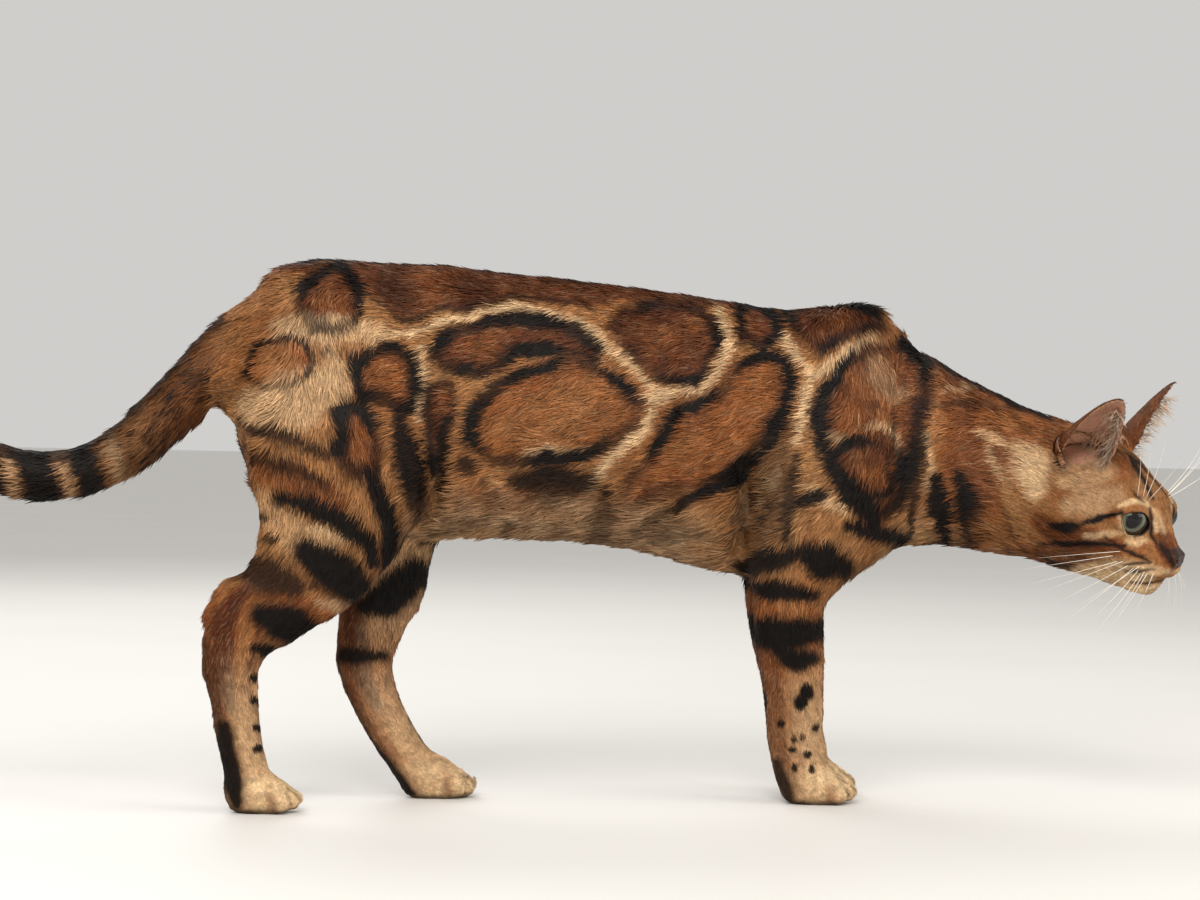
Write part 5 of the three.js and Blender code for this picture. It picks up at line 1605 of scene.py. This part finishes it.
def grow_coat(points, triangles, material):
    """Scatters tufts over the skin and joins them into the pieces of the coat."""
    normals = corner_normals(points, triangles)
    lay = Lay(points)
    length = hair_length(points, normals, lay)
    way = hair_way(points, normals, lay)
    density = tuft_density(points, normals, length)
    count = TUFTS
    corners, weights = scatter(points, triangles, density, count)
    root = interpolated(points, corners, weights)
    normal = unit(interpolated(normals, corners, weights))
    way = tangent(interpolated(way, corners, weights), normal)
    length = interpolated(length, corners, weights)
    under = step(-normal[:, 2], 0.2, 0.8) * step(root[:, 2], 110, 150)
    fringe = blob(root, CHEST_FRINGE, FRINGE_SPREAD)
    length *= 1 + 0.5 * fringe - 0.7 * blob(root, THIGH_CLEFT, CLEFT_SPREAD)
    tufts = tuft_shapes(root, normal, way, length, LIFT * (1 + 0.8 * under + 1.5 * fringe))
    local = lay.picked(corners[:, 0])
    looks = coat_looks(root + 0.45 * length[:, None] * way, normal, local)
    region = region_of(root, local)
    places = unwrap(root, normal, local)
    for number, name in enumerate(REGION_NAMES):
        mine = region == number
        low, high = places[mine].min(axis=0), places[mine].max(axis=0)
        unwrapped = MAP_EDGE + MAP_SPAN * (places[mine] - low) / (high - low)
        coat_piece(name, REGIONS[name], tufts[mine], normal[mine], looks[:, mine],
                   unwrapped, material)


# ---------------------------------------------------------------- materials
# Colours are linear.
GOLD = (0.36, 0.175, 0.064)
TAN = (0.25, 0.078, 0.019)
RUST = (0.088, 0.0195, 0.005)
CREAM = (0.78, 0.55, 0.31)
BROWN = (0.022, 0.0075, 0.003)
BLACK = (0.0055, 0.0035, 0.0026)
LEATHER = (0.020, 0.010, 0.008)
PINK = (0.56, 0.30, 0.205)
EAR_WHITE = (0.62, 0.46, 0.33)
WHISKER_WHITE = (0.86, 0.80, 0.70)
PINK_DEEP = (0.42, 0.19, 0.125)
LEATHER_PALE = (0.045, 0.022, 0.017)
LID_BLACK = (0.006, 0.004, 0.004)
STREAK_SCALE, PINK_SCALE, LEATHER_SCALE = 700.0, 160.0, 1500.0      # of noises, per metre
IRIS_DEEP = (0.02, 0.028, 0.024)
IRIS_PALE = (0.115, 0.12, 0.08)
IRIS_EDGE = (0.06, 0.065, 0.045)
LIMBUS = (0.012, 0.008, 0.006)
PUPIL = (0.002, 0.002, 0.002)


class Nodes:
    """Short words for building a node material."""

    def __init__(self, name):
        self.material = bpy.data.materials.new(name)
        self.material.use_nodes = True
        self.tree = self.material.node_tree
        self.shader = self.tree.nodes["Principled BSDF"]

    def add(self, kind, **settings):
        node = self.tree.nodes.new("ShaderNode" + kind)
        for key, value in settings.items():
            setattr(node, key, value)
        return node

    def put(self, value, socket):
        if isinstance(value, bpy.types.NodeSocket):
            self.tree.links.new(value, socket)
        elif value is not None:
            socket.default_value = (*value, 1) if isinstance(value, tuple) else value

    def attribute(self, name):
        return self.add("Attribute", attribute_name=name)

    def math(self, operation, a, b=None, c=None, clamp=False):
        node = self.add("Math", operation=operation, use_clamp=clamp)
        for value, socket in zip((a, b, c), node.inputs):
            self.put(value, socket)
        return node.outputs[0]

    def mix(self, factor, a, b, blend="MIX"):
        node = self.add("Mix", data_type="RGBA", blend_type=blend)
        self.put(factor, node.inputs[0])
        self.put(a, node.inputs[6])
        self.put(b, node.inputs[7])
        return node.outputs[2]

    def hypotenuse(self, a, b):
        return self.math("SQRT", self.math("MULTIPLY_ADD", a, a, self.math("MULTIPLY", b, b)))

    def set_shader(self, **values):
        """Sets the shader's own sockets, named with _ for each space."""
        for name, value in values.items():
            self.shader.inputs[name.replace("_", " ")].default_value = value

    def range(self, value, low, high, to_low=0.0, to_high=1.0):
        node = self.add("MapRange")
        for given, socket in zip((value, low, high, to_low, to_high), node.inputs):
            self.put(given, socket)
        return node.outputs[0]

    def ramp(self, factor, *stops):
        node = self.add("ValToRGB")
        elements = node.color_ramp.elements
        while len(elements) < len(stops):
            elements.new(0.5)
        for element, (at, colour) in zip(elements, stops):
            element.position = at
            element.color = (*colour, 1)
        self.put(factor, node.inputs[0])
        return node.outputs[0]

    def noise(self, scale, detail=2.0, vector=None):
        node = self.add("TexNoise")
        node.inputs["Scale"].default_value = scale
        node.inputs["Detail"].default_value = detail
        place = vector or self.add("TexCoord").outputs["Object"]
        self.put(place, node.inputs["Vector"])
        return node.outputs["Fac"]

    def bump(self, height, distance, strength=1.0):
        node = self.add("Bump")
        node.inputs["Distance"].default_value = distance
        node.inputs["Strength"].default_value = strength
        self.put(height, node.inputs["Height"])
        self.put(node.outputs[0], self.shader.inputs["Normal"])


def coat_material(name, skin=False):
    """Colours of fur from the masks of its markings. The skin adds its bare places."""
    made = Nodes(name)
    masks = made.add("SeparateXYZ")
    made.put(made.attribute("marks").outputs["Vector"], masks.inputs[0])
    warm, dark, pale = masks.outputs
    colour = made.ramp(warm, (0.0, GOLD), (0.5, TAN), (1.0, RUST))
    colour = made.mix(pale, colour, CREAM)
    colour = made.mix(dark, colour, BROWN)
    colour = made.mix(made.range(dark, 0.7, 1.0), colour, BLACK)
    strand = made.attribute("strand").outputs["Fac"]
    along = made.attribute("along").outputs["Fac"]
    streak = made.noise(STREAK_SCALE)
    light = made.range(strand, 0.0, 1.0, 0.66, 1.36)
    light = made.math("MULTIPLY", light, made.range(along, 0.0, 1.0, 0.72, 1.22))
    light = made.math("MULTIPLY", light, made.range(streak, 0.25, 0.75, 0.8, 1.2))
    colour = made.mix(1.0, colour, light, "MULTIPLY")
    made.set_shader(Specular_IOR_Level=0.14)
    if skin:
        bare = made.add("SeparateXYZ")
        made.put(made.attribute("bare").outputs["Vector"], bare.inputs[0])
        leather, pink, rim = bare.outputs
        grain = made.noise(LEATHER_SCALE, 3.0)
        colour = made.mix(pink, colour, made.mix(made.noise(PINK_SCALE), PINK, PINK_DEEP))
        colour = made.mix(leather, colour, made.mix(grain, LEATHER, LEATHER_PALE))
        colour = made.mix(rim, colour, LID_BLACK)
        rough = made.range(made.math("MAXIMUM", leather, rim), 0.0, 1.0, 0.62, 0.32)
        made.put(rough, made.shader.inputs["Roughness"])
        made.bump(made.math("ADD", made.math("MULTIPLY", grain, 0.5), streak), 0.0006, 0.6)
    else:
        made.set_shader(Roughness=0.5)
    made.put(colour, made.shader.inputs["Base Color"])
    return made.material


def eye_material():
    """Oval pupil in a grey-green iris, by the place on the eye in mm."""
    made = Nodes("eye")
    place_on_eye = made.attribute("gaze").outputs["Vector"]
    split = made.add("SeparateXYZ")
    made.put(place_on_eye, split.inputs[0])
    x, y, _ = split.outputs
    radius = made.hypotenuse(x, y)
    pupil = made.hypotenuse(*(made.math("DIVIDE", v, h) for v, h in zip((x, y), PUPIL_HALF)))
    spoke = made.add("VectorMath", operation="NORMALIZE")
    made.put(place_on_eye, spoke.inputs[0])
    fibres = made.noise(9.0, 4.0, spoke.outputs[0])
    run = made.range(radius, 4.0, IRIS_RADIUS)
    run = made.math("ADD", run, made.range(fibres, 0.3, 0.7, -0.22, 0.22))
    colour = made.ramp(
        run, (0.0, IRIS_DEEP), (0.55, IRIS_PALE), (0.8, IRIS_PALE), (1.0, IRIS_EDGE))
    edge = made.range(radius, IRIS_RADIUS - 0.5, IRIS_RADIUS + 0.2)
    colour = made.mix(edge, colour, LIMBUS)
    colour = made.mix(made.range(pupil, 1.06, 0.94), colour, PUPIL)
    made.put(colour, made.shader.inputs["Base Color"])
    made.set_shader(Roughness=0.5, Specular_IOR_Level=0.1, Coat_Weight=0.4, Coat_Roughness=0.04)
    return made.material


def plain_material(name, colour, roughness):
    """A colour with slight cloudy variation."""
    made = Nodes(name)
    darker = tuple(0.93 * c for c in colour)
    made.put(made.mix(made.noise(3.0), colour, darker), made.shader.inputs["Base Color"])
    made.set_shader(Roughness=roughness)
    return made.material


# ---------------------------------------------------------------- the skin's piece
SKIN_ALONG = 0.35                 # the skin is shaded as this place along a tuft


def lid_shade(local):
    """The lid's dark rim is fainter towards the outer lower side."""
    return 0.3 + 0.7 * step(0.6 * local[:, 2] - 0.8 * local[:, 1], -6, 3)


def make_skin(points, triangles):
    normals = corner_normals(points, triangles)
    looks = marks_at(points, normals, Lay(points))
    mesh = fast_mesh("skin", points, triangles)
    attribute(mesh, "marks", looks[:3].T)
    attribute(mesh, "strand", 0.5 + 0.3 * looks[3])
    attribute(mesh, "along", np.full(len(points), SKIN_ALONG))
    leather = nose_leather(mirrored(to_head(points)))
    rim = lid_edge(points, 1.03, 1.14, lid_shade)
    bare = [leather, ear_inner(points, normals), rim]
    attribute(mesh, "bare", np.stack(bare, axis=1))
    skin = place(mesh, "coat_flank", coat_material("skin", skin=True))
    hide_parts(*FLESH)


# ---------------------------------------------------------------- eyes
PUPIL_HALF = (3.9, 5.7)
IRIS_RADIUS = 7.3
CORNEA_BULGE, CORNEA_ANGLE = 0.9, 46.0
GAZE_YAWS = {RIGHT: 50.0, LEFT: 16.0}     # outwards: the cat glances to its right
GAZE_PITCH, GAZE_ROLL = 16.0, 18.0
EYE_RINGS, EYE_SEGMENTS = 48, 64


def gaze_axes(side):
    """Sight, sideways and up of an eyeball, which turns within its lids."""
    sight = turn("Z", side * GAZE_YAWS[side]) @ turn("Y", -GAZE_PITCH)
    return HEAD @ sight @ turn("X", side * GAZE_ROLL) @ np.diag([1, side, 1])


def make_eye(side, material):
    """An eyeball with a bulging cornea."""
    polar = np.linspace(0, math.pi, EYE_RINGS + 1)[1:-1]
    around = np.arange(EYE_SEGMENTS) / EYE_SEGMENTS * 2 * math.pi
    swell = 1 - np.clip(polar / math.radians(CORNEA_ANGLE), 0, 1) ** 2
    radius = EYE_RADIUS + CORNEA_BULGE * swell**1.5
    axes = np.ones(EYE_SEGMENTS), np.cos(around), np.sin(around)
    reach = radius * np.cos(polar), radius * np.sin(polar), radius * np.sin(polar)
    grid = np.stack([np.outer(r, a) for r, a in zip(reach, axes)], axis=-1).reshape(-1, 3)
    local = np.concatenate([grid, [[EYE_RADIUS + CORNEA_BULGE, 0, 0], [-EYE_RADIUS, 0, 0]]])
    rows = np.arange(len(grid)).reshape(-1, EYE_SEGMENTS)
    ahead = np.roll(rows, -1, axis=1)
    front, back = len(grid), len(grid) + 1
    caps = [(front, a, b) for a, b in zip(rows[0], ahead[0])]
    caps += [(back, b, a) for a, b in zip(rows[-1], ahead[-1])]
    triangles = np.concatenate([triangles_of(tube(rows)[:, [0, 3, 2, 1]]), np.array(caps)])
    if side == RIGHT:
        triangles = triangles[:, ::-1]
    points = local @ gaze_axes(side).T + eye_centre(side)
    mesh = fast_mesh("eyeball_" + SIDES[side], points, triangles)
    attribute(mesh, "gaze", np.column_stack([local[:, 1:], np.zeros(len(local))]))
    eye = place(mesh, "eye", material)
    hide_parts("eye_" + SIDES[side])


# ---------------------------------------------------------------- whiskers and ear hairs
# Whisker: where its tip shows in the picture, how far out from the head's middle plane the
# tip is in mm, and the place of its root on the pad in the head's frame.
WHISKERS = [
    ((1046, 590), 52, (-19, 12.5, -6)), ((1056, 603), 50, (-18, 12.5, -8)),
    ((1066, 620), 48, (-17, 12.5, -9.5)), ((1092, 620), 46, (-15.5, 12.5, -11)),
    ((1094, 634), 42, (-14, 12, -12)), ((1118, 613), 40, (-13, 12, -10)),
    ((1038, 558), 55, (-20, 12.5, -4)), ((1018, 570), 56, (-21, 12.5, -6)),
    ((1078, 606), 50, (-14, 12.5, -7)), ((1110, 628), 38, (-11, 11.5, -9)),
    ((1136, 610), 28, (-9, 10.5, -8)), ((1030, 584), 54, (-20, 12.5, -8))]
BROWS = [
    ((1150, 452), 34, (-33, 15, 22)), ((1166, 440), 32, (-32, 13, 22)),
    ((1180, 462), 28, (-31, 11.5, 21)), ((1140, 446), 38, (-35, 17, 21))]
WHISKER_RADIUS = 0.22
WHISKER_TAPER = 0.88
WHISKER_SAG = 0.16 * np.array([0.5, RIGHT * 0.6, 0.45])      # of its length, in the head's frame
LEFT_STRAY = 2.5                  # mm by which the left tips differ from the right ones
WHISKER_STEPS, WHISKER_SIDES = 10, 5


def tip_in_head(pixel, out):
    """The point out from the head's middle plane that shows at a pixel of the picture."""
    right, up, forward = camera_axes()
    x, y = pixel
    ray = forward + right * (x - IMAGE_SIZE[0] / 2) / FOCAL_PX
    ray = ray - up * (y - IMAGE_SIZE[1] / 2) / FOCAL_PX
    start = to_head(CAMERA_AT[None])[0]
    ray = ray @ HEAD
    return start + ray * (-out - start[1]) / ray[1]


def hair_tube(root, bend, tip, radius):
    """Tapering tube along a curve through three guide points."""
    t = np.linspace(0, 1, WHISKER_STEPS)[:, None]
    line = (1 - t) ** 2 * root + 2 * t * (1 - t) * bend + t**2 * tip
    way = unit(np.gradient(line, axis=0))
    side = unit(np.cross(way, [0.1, 0.2, 1.0]))
    other = np.cross(way, side)
    angle = (np.arange(WHISKER_SIDES) / WHISKER_SIDES * 2 * math.pi)[None, :, None]
    ring_out = side[:, None] * np.cos(angle) + other[:, None] * np.sin(angle)
    taper = radius * (1 - WHISKER_TAPER * t)
    points = (line[:, None] + taper[:, None] * ring_out).reshape(-1, 3)
    rows = np.arange(len(points)).reshape(-1, WHISKER_SIDES)
    first, last = rows[0], rows[-1]
    caps = [(first[0], first[k + 1], first[k]) for k in range(1, WHISKER_SIDES - 1)]
    caps += [(last[0], last[k], last[k + 1]) for k in range(1, WHISKER_SIDES - 1)]
    return points, np.concatenate([triangles_of(tube(rows)), np.array(caps)])


def make_whiskers(material):
    parts = []
    for side in SIDES:
        stray = 0 if side == RIGHT else LEFT_STRAY
        for pixel, out, root in WHISKERS + BROWS:
            root = on_side(root, RIGHT)
            tip = tip_in_head(pixel, out) + stray * RNG.standard_normal(3)
            bend = root + 0.5 * (tip - root) + np.linalg.norm(tip - root) * WHISKER_SAG
            curve = [from_head(on_side(p, -side)) for p in (root, bend, tip)]
            parts.append(hair_tube(*curve, WHISKER_RADIUS))
    points, triangles = joined(parts)
    place(fast_mesh("whiskers", points, triangles), "coat_chin", material)


EAR_HAIRS = 300                   # in each ear
EAR_HAIR_LENGTHS = (6, 7)         # mm: the least, and what chance may add
EAR_HAIR_LIFT = 0.12
EAR_HAIR_WIDTH = 0.45             # of a tuft's


def make_ear_hairs(material):
    """Long pale hairs from the front edge of each ear's hollow, across its opening."""
    for side in SIDES:
        rise, facing, across = ear_axes(side)
        wall = from_head(ear_wall(side, EAR_THICKNESS))
        column = (1 - side * (1.0 - 0.75 * RNG.random(EAR_HAIRS) ** 1.6)) / 2 * (EAR_COLUMNS - 1)
        row = (0.16 + 0.62 * RNG.random(EAR_HAIRS) ** 1.2) * (EAR_ROWS - 1)
        root = wall[row.astype(int), column.astype(int)]
        way = 0.9 * facing + 0.55 * side * across + 0.25 * rise
        way = unit(way + 0.28 * RNG.standard_normal((EAR_HAIRS, 3))) @ HEAD.T
        normal = unit(np.cross(way, rise @ HEAD.T))
        length = EAR_HAIR_LENGTHS[0] + EAR_HAIR_LENGTHS[1] * RNG.random(EAR_HAIRS)
        tufts = tuft_shapes(root, normal, way, length, EAR_HAIR_LIFT)
        middle = tufts[:, 1:3].mean(axis=1, keepdims=True)
        tufts[:, 1:3] = middle + EAR_HAIR_WIDTH * (tufts[:, 1:3] - middle)
        looks = np.stack([0.2 * RNG.random(EAR_HAIRS), 0.1 * RNG.random(EAR_HAIRS),
                          0.55 + 0.4 * RNG.random(EAR_HAIRS), RNG.random(EAR_HAIRS) - 0.5])
        unwrapped = np.stack([column / EAR_COLUMNS, row / EAR_ROWS], axis=1) * 0.98
        lit = unit(0.4 * normal + np.array([0, 0, 1.0]))
        name = "ear_hair_" + SIDES[side]
        coat_piece(name, "ear_skin", tufts, lit, looks, unwrapped, material)


# ---------------------------------------------------------------- studio
def area_light(name, at, size, power, colour):
    data = bpy.data.lights.new(name, "AREA")
    data.size = size
    data.energy = power
    data.color = colour
    lamp = bpy.data.objects.new(name, data)
    lamp.location = at
    lamp.rotation_euler = (Vector(LIT_PLACE) - Vector(at)).to_track_quat("-Z", "Y").to_euler()
    bpy.context.scene.collection.objects.link(lamp)


SKY, SKY_STRENGTH = (0.80, 0.79, 0.77, 1), 0.78
FLOOR_COLOUR, FLOOR_HALF = (0.78, 0.76, 0.73), 60.0
LIT_PLACE = (0.0, 0.0, 0.15)
LIGHTS = {                        # place, size, power, colour
    "key": ((-0.7, -1.7, 1.5), 1.3, 42, (1, 0.97, 0.92)),
    "front": ((1.6, -0.9, 0.9), 1.2, 16, (1, 0.97, 0.94)),
    "rim": ((-0.5, 1.6, 1.6), 1.4, 18, (1, 1, 1))}


def make_studio():
    world = bpy.data.worlds.new("studio")
    bpy.context.scene.world = world
    world.use_nodes = True
    background = world.node_tree.nodes["Background"]
    background.inputs["Color"].default_value = SKY
    background.inputs["Strength"].default_value = SKY_STRENGTH
    for name, settings in LIGHTS.items():
        area_light(name, *settings)
    corners = FLOOR_HALF * np.array([(-1, -1, 0), (1, -1, 0), (1, 1, 0), (-1, 1, 0)])
    mesh = new_mesh("floor", corners, [(0, 1, 2, 3)])
    floor = bpy.data.objects.new("floor", mesh)
    bpy.context.scene.collection.objects.link(floor)
    mesh.materials.append(plain_material("floor", FLOOR_COLOUR, 0.6))
    bpy.context.scene.view_settings.view_transform = "Standard"


def main():
    points, triangles = grow_skin()
    make_skin(points, triangles)
    iris = eye_material()
    for side in SIDES:
        make_eye(side, iris)
    coat = coat_material("coat")
    grow_coat(points, triangles, coat)
    make_whiskers(plain_material("whiskers", WHISKER_WHITE, 0.4))
    make_ear_hairs(plain_material("ear hairs", EAR_WHITE, 0.6))
    make_camera()
    make_studio()


main()
